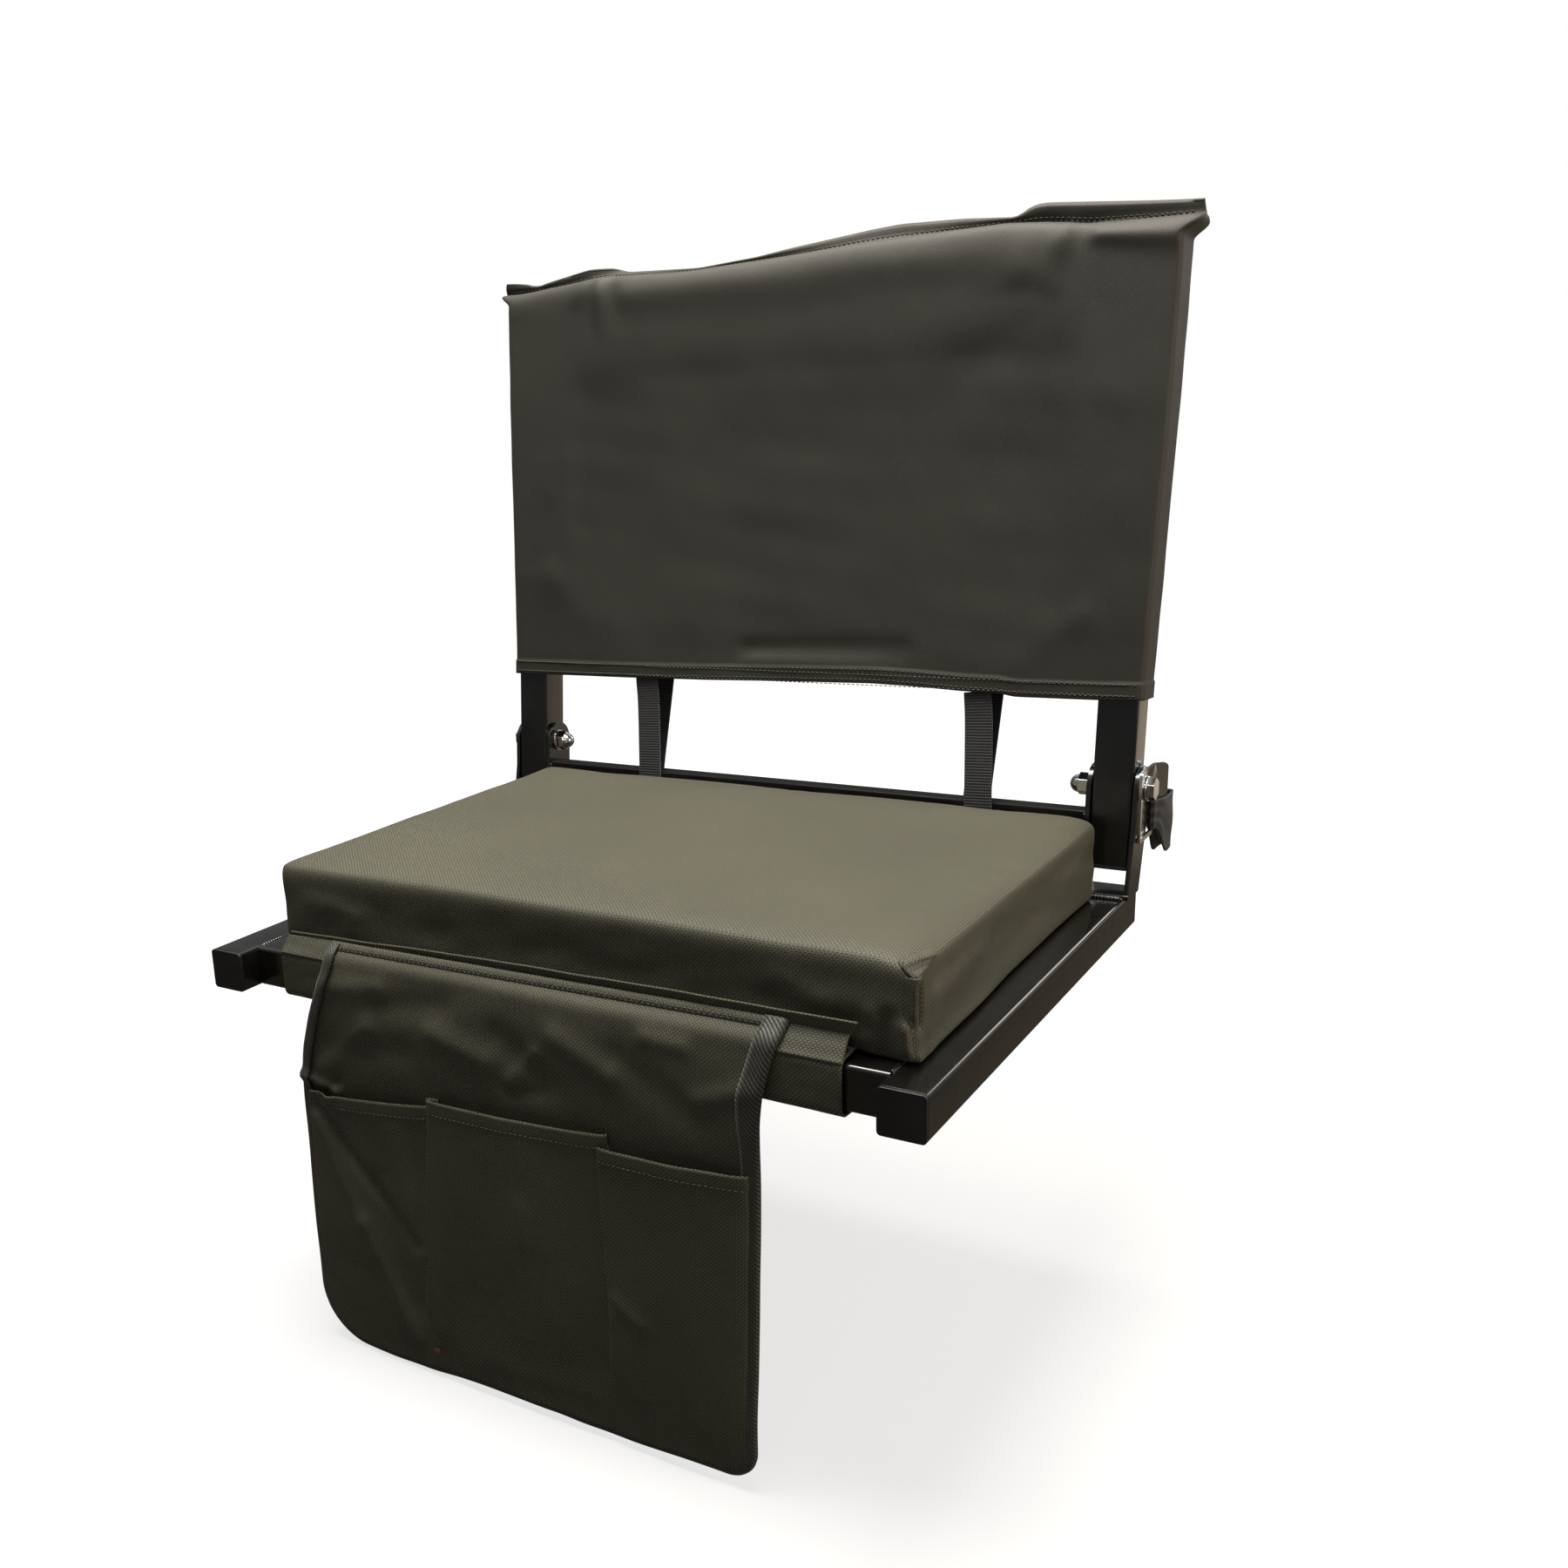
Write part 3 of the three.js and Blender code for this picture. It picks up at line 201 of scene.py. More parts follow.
def woven_polyester(name, lit_thread_hex, shaded_weft_hex, gap_shade_hex, pitch_mm=THREAD_PITCH_MM, bump_mm=0.2):
    """Plain weave: a checker picks which thread is on top, and each thread is a half sine across.
    The threads that run across lie a little deeper and are painted darker, and the gaps darker still:
    painted shade."""
    material, tree, shader = new_material(name)
    cloth = add_node(tree, "UVMap", uv_map="cloth")
    count = add_node(tree, "VectorMath", {0: cloth, 3: 1 / (pitch_mm * MM)}, operation="SCALE")
    split = add_node(tree, "SeparateXYZ", {0: count})
    crowns = []
    for axis in ("X", "Y"):
        turn = add_node(tree, "Math", {0: split.outputs[axis], 1: math.pi}, operation="MULTIPLY")
        wave = add_node(tree, "Math", {0: turn}, operation="SINE")
        crowns.append(add_node(tree, "Math", {0: wave}, operation="ABSOLUTE"))
    lift = add_node(tree, "VectorMath", {0: count, 1: (0, 0, 0.5)}, operation="ADD")
    over = add_node(tree, "TexChecker", {"Vector": lift, "Scale": 1.0})
    height = add_node(tree, "Mix", {0: over.outputs["Fac"], 2: crowns[0], 3: crowns[1]})
    slubs = add_node(tree, "TexNoise", {"Vector": cloth, "Scale": 1 / (SLUB_SIZE_MM * MM), "Detail": 2.0})
    fade = add_node(tree, "TexNoise", {"Vector": cloth, "Scale": 1 / (FADE_SIZE_MM * MM), "Detail": 3.0})
    # Painted shade: the threads that run across take a darker colour, and the gaps between threads darken
    # with depth
    crown_lit_and_shaded = blend_colours(tree, over.outputs["Fac"], linear(lit_thread_hex), linear(shaded_weft_hex))
    yarn_with_painted_shade = blend_colours(tree, height, linear(gap_shade_hex), crown_lit_and_shaded)
    tone = add_node(
        tree, "MapRange", {"Value": fade, "From Min": 0.3, "From Max": 0.7, "To Min": 0.9, "To Max": 1.1}
    )
    grain = add_node(
        tree, "MapRange", {"Value": slubs, "From Min": 0.2, "From Max": 0.8, "To Min": 0.82, "To Max": 1.18}
    )
    shade = add_node(tree, "Math", {0: tone, 1: grain}, operation="MULTIPLY")
    colour = add_node(tree, "VectorMath", {0: yarn_with_painted_shade, 3: shade}, operation="SCALE")
    bump = add_node(tree, "Bump", {"Height": height, "Strength": 0.6, "Distance": bump_mm * MM})
    set_inputs(tree, shader, {"Base Color": colour, "Normal": bump, **YARN_SURFACE})
    return material


# The second colour is painted shade on the threads that run across, and the third is painted shade in the
# gaps
SEAT_CLOTH = woven_polyester("woven polyester, olive black", "#636150", "#444336", "#12120e")
COVER_CLOTH = woven_polyester("woven polyester, brown black", "#38362f", "#302e29", "#24231f", 0.9, 0.06)
LINING_CLOTH = woven_polyester("coated woven polyester, black", "#2b2b28", "#252523", "#1d1d1b", 0.9, 0.04)
print("made", SEAT_CLOTH.name, "and", COVER_CLOTH.name)

# %% [markdown]
# ## Webbing and thread
# The straps are plain webbing, a flat tape with ribs across it. The panel's edge is bound with a tape
# whose ribs run slantwise. Both read the same kind of UV map, with the tape's length along V. The thread
# is a glossy two-ply polyester, a little lighter than the cloth.

# %% Webbing and thread
RIB_PITCH_MM = 1.9
WARP_LOW = 0.6
FIBRE_SIZE_MM = 0.3
FIBRE_BUMP_MM = 0.05


def webbing(name, rib_hex, groove_shade_hex, slant, pitch_mm=RIB_PITCH_MM):
    """Ribs: a sine of V plus slant times U, crossed by finer warp threads along the tape. The grooves are
    painted darker than the ribs as painted shade.
    """
    material, tree, shader = new_material(name)
    cloth = add_node(tree, "UVMap", uv_map="cloth")
    split = add_node(tree, "SeparateXYZ", {0: cloth})
    slanted = add_node(
        tree, "Math", {0: split.outputs["X"], 1: slant, 2: split.outputs["Y"]}, operation="MULTIPLY_ADD"
    )
    waves = []
    threads = ((slanted, pitch_mm, 0.0), (split.outputs["X"], pitch_mm / 2, WARP_LOW))
    for source, pitch, to_min in threads:
        turn = add_node(tree, "Math", {0: source, 1: 2 * math.pi / (pitch * MM)}, operation="MULTIPLY")
        wave = add_node(tree, "Math", {0: turn}, operation="SINE")
        waves.append(
            add_node(tree, "MapRange", {"Value": wave, "From Min": -1.0, "From Max": 1.0, "To Min": to_min})
        )
    height = add_node(tree, "Math", {0: waves[0], 1: waves[1]}, operation="MULTIPLY")
    # Painted shade: the grooves between ribs take the darker colour
    colour = blend_colours(tree, height, linear(groove_shade_hex), linear(rib_hex))
    bump = add_node(tree, "Bump", {"Height": height, "Strength": 0.8, "Distance": 0.3 * MM})
    surface = {"Base Color": colour, "Normal": bump, "Roughness": 0.55, "Sheen Weight": 0.15}
    set_inputs(tree, shader, surface)
    return material


# The loop is the same webbing as the straps, painted darker as painted shade on the side that the right
# light reaches
LOOP_WEBBING_PAINTED_SHADE = webbing("woven webbing, darkened as painted shade", "#26272a", "#101011", 0.0)
STRAP_WEBBING = webbing("woven webbing, grey black", "#3d3e41", "#161618", 0.0)
EDGE_TAPE = webbing("twill edge tape, grey black", "#4c4b41", "#0d0d0c", 1.0, 2.6)

THREAD, thread_tree, thread_shader = new_material("polyester sewing thread, grey")
thread_place = add_node(thread_tree, "TexCoord")
fibres = {"Vector": thread_place.outputs["Object"], "Scale": 1 / (FIBRE_SIZE_MM * MM)}
thread_noise = add_node(thread_tree, "TexNoise", fibres)
twist = {"Height": thread_noise, "Strength": 0.5, "Distance": FIBRE_BUMP_MM * MM}
thread_bump = add_node(thread_tree, "Bump", twist)
thread_look = {"Base Color": linear("#45443b"), "Roughness": 0.45, "Normal": thread_bump}
set_inputs(thread_tree, thread_shader, thread_look)
BARTACK_THREAD = THREAD.copy()
BARTACK_THREAD.name = "polyester sewing thread, rust"
bartack_shader = BARTACK_THREAD.node_tree.nodes["Principled BSDF"]
bartack_shader.inputs["Base Color"].default_value = linear("#6e4a44")
print("made", STRAP_WEBBING.name, "and", EDGE_TAPE.name)

# %% [markdown]
# ## Enamel, chrome and moulded plastic
# The tubes are dipped in gloss black enamel, which flows a little uneven and picks up fine dust. The
# bolts, the nuts and the strap plate are bright chrome plate. The end caps are moulded plastic with a fine
# spark-eroded grain. All three read Object coordinates, because metal has no cloth to follow.


# %% Enamel, chrome and plastic
DUST_SIZE_MM = 28


def hard_finish(name, base_hex, dust_hex, roughness, metallic, wave_mm, bump_mm, dust=0.06):
    """Base colour with a thin uneven veil of dust, a roughness that wanders, and a low wave."""
    material, tree, shader = new_material(name)
    place = add_node(tree, "TexCoord")
    wave = add_node(
        tree, "TexNoise", {"Vector": place.outputs["Object"], "Scale": 1 / (wave_mm * MM), "Detail": 3.0}
    )
    patches = add_node(
        tree,
        "TexNoise",
        {"Vector": place.outputs["Object"], "Scale": 1 / (DUST_SIZE_MM * MM), "Detail": 5.0},
    )
    veil = add_node(tree, "MapRange", {"Value": patches, "From Min": 0.5, "From Max": 0.8, "To Max": dust})
    spread = {"From Min": 0.3, "From Max": 0.8, "To Min": roughness * 0.8, "To Max": roughness * 1.35}
    gloss = add_node(tree, "MapRange", {"Value": patches, **spread})
    colour = blend_colours(tree, veil, linear(base_hex), linear(dust_hex))
    bump = add_node(tree, "Bump", {"Height": wave, "Strength": 0.35, "Distance": bump_mm * MM})
    surface = {"Base Color": colour, "Roughness": gloss, "Normal": bump, "Metallic": metallic}
    set_inputs(tree, shader, surface)
    return material, shader


ENAMEL, enamel_shader = hard_finish("gloss black enamel", "#0e0e0d", "#5a574f", 0.2, 0.0, 6, 0.12)
enamel_shader.inputs["Coat Weight"].default_value = 0.5
enamel_shader.inputs["Coat Roughness"].default_value = 0.06
# The bar that the straps rub on is dull: its film is worn and takes no clear highlight
WORN_ENAMEL, worn_shader = hard_finish("worn black enamel", "#0e0e0d", "#5a574f", 0.55, 0.0, 6, 0.12)
worn_shader.inputs["Specular IOR Level"].default_value = 0.15
CHROME, _ = hard_finish("bright chrome plate", "#d8d8d6", "#6d6659", 0.12, 1.0, 3, 0.03)
PLASTIC, _ = hard_finish("moulded black plastic", "#151514", "#4c4a45", 0.42, 0.0, 0.5, 0.04)
print("made", ENAMEL.name, CHROME.name, "and", PLASTIC.name)

# %% [markdown]
# ## The steel, the caps and the fasteners
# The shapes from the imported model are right, but their edges are perfectly sharp and their round corners
# are made of a few flats. Real tube and plate has slightly broken edges that catch the light. A copy of
# each is merged into one skin, its sharp edges get a small bevel, and its round corners shade smooth.


# %% Steel, caps and fasteners
@contextmanager
def mesh_work(mesh):
    """A bmesh of the mesh, written back at the end."""
    work = bmesh.new()
    work.from_mesh(mesh)
    yield work
    work.to_mesh(mesh)
    work.free()


def link_piece(name, mesh):
    """A new object at the origin that holds the mesh."""
    piece = bpy.data.objects.new(name, mesh)
    bpy.context.scene.collection.objects.link(piece)
    return piece


def finish_hard_piece(node, material, bevel_mm):
    """Merged copy of a CAD node with its flats joined and its sharp edges broken."""
    mesh = nodes[node].data.copy()
    with mesh_work(mesh) as work:
        bmesh.ops.remove_doubles(work, verts=work.verts, dist=0.001 * MM)
        bmesh.ops.dissolve_limit(work, angle_limit=math.radians(0.5), verts=work.verts, edges=work.edges)
    mesh.materials.clear()
    mesh.materials.append(material)
    piece = link_piece(f"{node}_finish", mesh)
    mesh.shade_smooth()
    mesh.set_sharp_from_angle(angle=math.radians(40))
    bevel = piece.modifiers.new("broken edges", "BEVEL")
    bevel.width = bevel_mm * MM
    bevel.segments = 2
    bevel.limit_method = "ANGLE"
    bevel.angle_limit = math.radians(50)
    bevel.use_clamp_overlap = True
    bevel.harden_normals = True
    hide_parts(node)
    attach(piece, nodes[node]["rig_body"])


SIDES = ("left", "right")


def both(*parts):
    """The names of parts that the left and the right side each have."""
    return [f"{side}_{part}" for side in SIDES for part in parts]


hard_pieces = [
    (ENAMEL, "black_enamel", 0.4, ["front_cross_tube", "rear_cross_tube", "top_tube"]),
    (WORN_ENAMEL, "black_enamel", 0.4, ["rear_strap_bar"]),
    (ENAMEL, "black_enamel", 0.4, both("side_rail", "upright")),
    (ENAMEL, "black_enamel", 0.5, both("hinge_bracket")),
    (PLASTIC, "black_plastic", 0.6, both("front_end_cap", "rear_end_cap", "upright_plug")),
    (CHROME, "chrome", 0.25, both("pivot_bolt", "cap_nut", "nut_washer", "head_washer")),
    (CHROME, "chrome", 0.35, ["right_strap_plate"]),
]
for material, slot, bevel_mm, names in hard_pieces:
    for name in names:
        finish_hard_piece(name, material, bevel_mm)
    print("finished", len(names), "pieces in", material.name)

# %% [markdown]
# ## Places in the reclined back
# The back leans 5.2 degrees about the pivot bolts. Its cloth is easier to draw straight, so it is worked
# out as x across, n backward from the middle of the tube, and s up along the upright, and then leaned.

# %% Lean frame
PIVOT = next(joint for joint in frame["joints"] if joint["name"] == "back_fold")["pos_m"]
PIVOT_Y = PIVOT[1] / MM
PIVOT_Z = PIVOT[2] / MM
RECLINE = math.radians(5.2)


def stacked(*coordinates):
    """One array of points from arrays of coordinates that are spread to the same grid."""
    return np.stack(np.broadcast_arrays(*coordinates), -1)


def lean(x, n, s):
    """Row-frame millimetres from (x, n, s): n and s turned by the recline about the pivot."""
    y = PIVOT_Y + n * math.cos(RECLINE) + s * math.sin(RECLINE)
    z = PIVOT_Z - n * math.sin(RECLINE) + s * math.cos(RECLINE)
    return stacked(x, y, z)


print("pivot at y", round(PIVOT_Y, 1), "z", round(PIVOT_Z, 1), "mm")

# %% [markdown]
# ## Grids
# Every cloth is a grid of points, with a second grid that says where each point lies on the flat cloth.
# One function makes a mesh of the two. The others close it, give it a thickness and measure it.


# %% Grids
def grid_piece(name, points, cloth, material, ring=False, flip=False):
    """A quad mesh over points[rows, columns, 3] in mm. cloth[rows, columns, 2] is each point's place
    on the flat cloth in mm, with one more column than points where ring joins the last to the first."""
    rows, columns = points.shape[:2]
    i, j = np.meshgrid(np.arange(rows - 1), np.arange(cloth.shape[1] - 1), indexing="ij")
    corners = [(i, j), (i, j + 1), (i + 1, j + 1), (i + 1, j)]
    if flip:
        corners.reverse()
    faces = np.stack([row * columns + column % columns for row, column in corners], -1)
    places = np.stack([cloth[row, column] for row, column in corners], -2)
    mesh = bpy.data.meshes.new(name)
    mesh.from_pydata((points.reshape(-1, 3) * MM).tolist(), [], faces.reshape(-1, 4).tolist())
    layer = mesh.uv_layers.new(name="cloth")
    layer.uv.foreach_set("vector", (places.reshape(-1, 2) * MM).astype(np.float32).ravel())
    mesh.materials.append(material)
    mesh.shade_smooth()
    assert ring or cloth.shape[1] == columns
    return link_piece(name, mesh)


def close_doubles(piece):
    """Merges points that lie on each other, such as a seam or a pinched end."""
    with mesh_work(piece.data) as work:
        bmesh.ops.remove_doubles(work, verts=work.verts, dist=0.01 * MM)


def close_ends(piece):
    """Fills the two open ends of a ring carried along a path, and points all faces outwards."""
    with mesh_work(piece.data) as work:
        bmesh.ops.holes_fill(work, edges=work.edges, sides=0)
        bmesh.ops.recalc_face_normals(work, faces=work.faces)


def box_mm(node):
    """The lowest and the highest corner of a CAD node, in millimetres."""
    return [np.array(corner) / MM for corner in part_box(node)]


def run_along(points):
    """The distance along a line of points, from 0 at the first."""
    return np.concatenate([[0], np.cumsum(np.linalg.norm(np.diff(points, axis=0), axis=-1))])


def place_at(distance, run, points):
    """The places, or the directions, at distances along a line whose points lie at run."""
    return np.stack([np.interp(distance, run, column) for column in points.T], -1)


def thicken(piece, thickness_mm, offset=-1.0):
    """Gives a sheet its thickness, inward from its outer face."""
    solid = piece.modifiers.new("cloth thickness", "SOLIDIFY")
    solid.thickness = thickness_mm * MM
    solid.offset = offset


def normals_of(points):
    """Unit normals of a grid: the cross product of its two directions."""
    along_rows, along_columns = np.gradient(points, axis=(0, 1))
    normal = np.cross(along_columns, along_rows)
    return normal / np.maximum(np.linalg.norm(normal, axis=-1, keepdims=True), 1e-9)


# %% [markdown]
# ## Lines, steps and folds
# The shapes are built from a few smooth functions of place: a curve through stops, a step, a hill, a fold
# across a line, and a soft unevenness. They take whole arrays, so no loop runs over points.


# %% Lines, steps and folds
def smooth_path(stops, count):
    """A curve through the stops (Catmull-Rom), as count points evenly spaced along it."""
    stops = np.asarray(stops, float)
    padded = np.vstack([2 * stops[0] - stops[1], stops, 2 * stops[-1] - stops[-2]])
    t = np.linspace(0, 1, 24, endpoint=False)[:, None]
    runs = []
    for a, b, c, d in zip(padded[:-3], padded[1:-2], padded[2:-1], padded[3:]):
        bend = 2 * a - 5 * b + 4 * c - d + t * (3 * (b - c) + d - a)
        runs.append(b + 0.5 * t * (c - a + t * bend))
    fine = np.vstack([*runs, stops[-1:]])
    length = run_along(fine)
    even = np.linspace(0, length[-1], count)
    return place_at(even, length, fine)


def step(value, low, high):
    """0 below low, 1 above high, and a smooth cubic between."""
    share = np.clip((value - low) / (high - low), 0, 1)
    return share * share * (3 - 2 * share)


def bell(value, reach):
    """e to the power of minus (value / reach) squared: 1 at 0, and near 0 beyond twice the reach."""
    return np.exp(-((value / reach) ** 2))


def hill(value, centre, reach):
    """1 at the centre, falling smoothly to 0 at reach on both sides."""
    return np.clip(1 - ((value - centre) / reach) ** 2, 0, 1) ** 2


def fold(u, v, start, end, width, height, fade=0.0):
    """A fold as a height: a bell across the line from start to end, fading past both ends. It loses
    the share fade of its height, and widens by as much, on the way to its end."""
    (u0, v0), (u1, v1) = start, end
    length = math.hypot(u1 - u0, v1 - v0)
    along = ((u - u0) * (u1 - u0) + (v - v0) * (v1 - v0)) / length
    across = ((u - u0) * (v1 - v0) - (v - v0) * (u1 - u0)) / length
    beyond = np.maximum(0, np.abs(along - length / 2) - length / 2)
    lost = fade * np.clip(along / length, 0, 1)
    spread = width * (1 + lost)
    return height * (1 - lost) * np.exp(-((across / spread) ** 2) - (beyond / spread) ** 2)


def uneven(u, v, size_mm, height_mm, seed):
    """Soft unevenness: six sine waves with seeded directions, lengths and phases."""
    chance = np.random.default_rng(seed)
    total = np.zeros(np.broadcast(u, v).shape)
    for _ in range(6):
        angle = chance.uniform(0, math.pi)
        wave = 2 * math.pi / (size_mm * chance.uniform(0.6, 1.6))
        phase = chance.uniform(0, 2 * math.pi)
        total = total + np.sin(wave * (u * math.cos(angle) + v * math.sin(angle)) + phase)
    return height_mm * total / 6


# %% [markdown]
# ## Stitches
# A seam without its thread looks glued. Each stitch is a short six-sided capsule that dips into the cloth
# at both ends. All the stitches of one seam are one mesh, set along a line of points with the cloth's
# outward direction at each.

# %% Stitches
STITCH_PITCH_MM = 3.4
STITCH_LENGTH_MM = 2.5
THREAD_RADIUS_MM = 0.32


def stitches(name, line, outward, body, material=THREAD, pitch_mm=STITCH_PITCH_MM):
    """Capsules along a line: rings at shares of the stitch's length, thin and low at both ends.
    A seam given no body is not attached to one."""
    line, outward = np.asarray(line, float), np.asarray(outward, float)
    length = run_along(line)
    centres = np.arange(pitch_mm / 2, length[-1] - pitch_mm / 2, pitch_mm)
    middle, up = place_at(centres, length, line), place_at(centres, length, outward)
    along = place_at(centres + 0.5, length, line) - place_at(centres - 0.5, length, line)
    along = along / np.linalg.norm(along, axis=1, keepdims=True)
    side = np.cross(up, along)
    shares = np.array([-0.5, -0.32, 0.32, 0.5])
    radii = np.array([0.35, 1, 1, 0.35]) * THREAD_RADIUS_MM
    lifts = np.array([-0.9, 0.4, 0.4, -0.9]) * THREAD_RADIUS_MM
    angles = np.arange(6) * math.pi / 3
    rings = (
        middle[:, None, None]
        + along[:, None, None] * (shares * STITCH_LENGTH_MM)[None, :, None, None]
        + up[:, None, None] * (lifts[:, None] + radii[:, None] * np.sin(angles))[None, :, :, None]
        + side[:, None, None] * (radii[:, None] * np.cos(angles))[None, :, :, None]
    )
    start = np.arange(len(centres))[:, None, None] * 24
    ring, spoke = np.meshgrid(np.arange(3), np.arange(6), indexing="ij")
    following = (spoke + 1) % 6
    quads = np.stack(
        [ring * 6 + spoke, ring * 6 + following, ring * 6 + 6 + following, ring * 6 + 6 + spoke], -1
    )
    faces = (start[..., None] + quads).reshape(-1, 4).tolist()
    first = (start[:, 0] + np.arange(5, -1, -1)).tolist()
    last = (start[:, 0] + np.arange(18, 24)).tolist()
    mesh = bpy.data.meshes.new(name)
    mesh.from_pydata((rings.reshape(-1, 3) * MM).tolist(), [], faces + first + last)
    mesh.materials.append(material)
    mesh.shade_smooth()
    piece = link_piece(name, mesh)
    if body:
        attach(piece, body)
    print(name, len(centres), "stitches")
    return piece


# %% [markdown]
# ## The back cover
# The cover is a flat bag pulled down over the back frame. It could be blocked out and sculpted, but its
# shape follows from how it is sewn: a ring round the frame that climbs from the hem, rolls over the top
# tube, closes on the seam, and ends in a standing fin of seam allowance. So it is one grid, with the ring
# as one direction and the climb as the other. Folds are added as heights on it.

# %% Back cover
tube_low, tube_high = box_mm("left_upright")
FRAME_HALF = -tube_low[0]
TUBE_HALF = (tube_high[0] - tube_low[0]) / 2
COVER_EASE = 2.0
COVER_HALF = FRAME_HALF + COVER_EASE
COVER_DEEP = TUBE_HALF + COVER_EASE
COVER_THICK = 1.5
COVER_RING_CORNER = 3.6
COVER_FLARE = 5.0
COVER_SAG = 3.2
FIN_LEAN = 0.3
SHOULDER = 312.0
SEAM_GAP = 1.3
HEM_BAND = 11.0
HEM_ROWS = [0, 1.2, 2.6, 5, 8, 9.5, 10.4, 11.2, 12.5, 15]
# Heights along the upright, as (x, s), read from the photograph's edges
HEM_LINE = [(-236, 52.4), (-195, 52.9), (-128, 53.8), (-68, 55), (-5, 57), (61, 58.6), (92, 58),
            (125, 56.6), (152, 56.4), (158, 54.6), (214, 55.4), (240, 56.4)]
SEAM_LINE = [(-240, 338), (-227, 337.6), (-160, 343.5), (-89, 340.5), (-22, 342.7), (44, 346),
             (134, 347.2), (160, 345), (183, 341.5), (249, 339.5)]
FIN_LINE = [(-250, 346.5), (-234, 344), (-230, 341.5), (-226, 343.5), (-183, 350.5), (-164, 350),
            (-151, 346), (-89, 342.8), (-41, 345.4), (-13, 348.8), (44, 354.4), (66, 355.7),
            (110, 353.8), (147, 350.5), (155, 355.5), (164, 356.5), (254, 348.5)]
COVER_FOLDS = [((-163, 341), (-160, 296), 4.0, 3.4, 1), ((-152, 343), (-146, 312), 3.5, -2.4, 1),
               ((-175, 342), (-186, 318), 5.0, 2.2, 1), ((176, 345), (166, 296), 5.0, 3.2, 1),
               ((188, 342), (183, 306), 5.0, -2.6, 1), ((196, 334), (240, 329), 6.0, 3.0, 0.2),
               ((150, 318), (182, 330), 12, 1.6, 0.8), ((-36, 79), (82, 83), 6, -2.0, 0.3),
               ((-30, 71), (60, 72), 5, 0.9, 0.3), ((155, 300), (152, 90), 9, -0.6, 0.4),
               ((-140, 328), (150, 328), 11, 1.4, 0.3), ((150, 290), (96, 236), 14, -1.4, 0.7),
               ((198, 108), (150, 66), 10, 1.2, 0.6), ((-204, 126), (-140, 74), 13, 1.0, 0.6),
               ((206, 290), (160, 326), 8, -1.0, 0.5), ((-214, 300), (-190, 200), 12, -0.8, 0.6)]


def line_at(stops, x):
    """Height at x on a line through the stops, rounded by averaging over a few millimetres."""
    along, heights = zip(*stops)
    nearby = [np.interp(x + shift, along, heights) for shift in (-4, -2, 0, 2, 4)]
    return sum(nearby) / len(nearby)


def rounded_ring(half_x, half_n, radius, gap):
    """Points round a rounded rectangle, front face first, each about gap from the next."""
    corners = [(1, -1, -90), (1, 1, 0), (-1, 1, 90), (-1, -1, 180)]
    runs = []
    for index, (sign_x, sign_n, start) in enumerate(corners):
        turn = np.radians(start + np.linspace(0, 90, 7))
        centre = np.array([sign_x * (half_x - radius), sign_n * (half_n - radius)])
        runs.append(centre + radius * np.stack([np.cos(turn), np.sin(turn)], -1))
        sign_x2, sign_n2, start2 = corners[(index + 1) % 4]
        next_turn = math.radians(start2)
        next_centre = np.array([sign_x2 * (half_x - radius), sign_n2 * (half_n - radius)])
        next_start = next_centre + radius * np.array([math.cos(next_turn), math.sin(next_turn)])
        count = max(2, int(np.linalg.norm(next_start - runs[-1][-1]) / gap))
        share = np.arange(1, count)[:, None] / count
        runs.append(runs[-1][-1] + (next_start - runs[-1][-1]) * share)
    return np.vstack(runs)


def cover_grid():
    """Rows climb from the hem to the fin's edge. Over the top tube n shrinks as cos^0.5 and s grows
    as sin^0.5, which is a squared arch, and the fin is two layers that end on each other."""
    ring = rounded_ring(COVER_HALF, COVER_DEEP, COVER_RING_CORNER, 3.6)
    x0, n0 = ring[:, 0], ring[:, 1]
    hem, seam = line_at(HEM_LINE, x0), line_at(SEAM_LINE, x0)
    fin = line_at(FIN_LINE, x0 * (COVER_HALF + 13) / COVER_HALF)
    climb = np.concatenate([HEM_ROWS, np.linspace(18, SHOULDER - 56, 64)])
    straight = hem + climb[:, None] * (SHOULDER - hem) / climb[-1]
    turn = np.linspace(0, 1, 20)[1:, None] ** 1.6 * math.pi / 2
    arch = SHOULDER + (seam - SHOULDER) * np.sin(turn) ** 0.5
    rise = seam + (fin - seam) * np.linspace(0, 1, 5)[1:, None]
    s = np.vstack([straight, arch, rise])
    deep = np.concatenate([np.ones(len(straight)), np.cos(turn[:, 0]) ** 0.5, np.zeros(4)])
    deep = np.maximum(deep, SEAM_GAP / COVER_DEEP)
    deep[-1] = 0
    n = n0 * deep[:, None]
    out_share = np.abs(x0) / COVER_HALF
    flare = COVER_FLARE * step(s, HEM_BAND, 330)
    ear = 9 * out_share**14 * step(s, 328, 337) - 1.5 * out_share**14 * step(s, 338, 347)
    x = x0 * (1 + (flare + ear) / COVER_HALF)
    return x, n, s, x0, n0, len(straight) + len(turn)


def cover_relief(x, s, facing, height_above_hem):
    """How far the cloth stands out: sag between the uprights, folds, unevenness and the turned hem."""
    free = step(FRAME_HALF - 34 - np.abs(x), 0, 30) * step(SHOULDER - 8 - s, 0, 40)
    sag = -COVER_SAG * free * hill(s, 190, 150)
    folds = sum(fold(x, s, *values) for values in COVER_FOLDS) * (facing < 0)
    rear = fold(x, s, (-120, 300), (60, 120), 26, -1.6) + fold(x, s, (170, 250), (40, 90), 20, 1.2)
    soft = uneven(x, s, 95, 0.9, 3) + uneven(x, s, 34, 0.28, 8)
    total = sag + folds + rear * (facing > 0) + soft
    total = np.where(total < 0, total * np.maximum(free, 0.12), total)
    return total + 0.7 * step(HEM_BAND - height_above_hem, 0, 0.8)


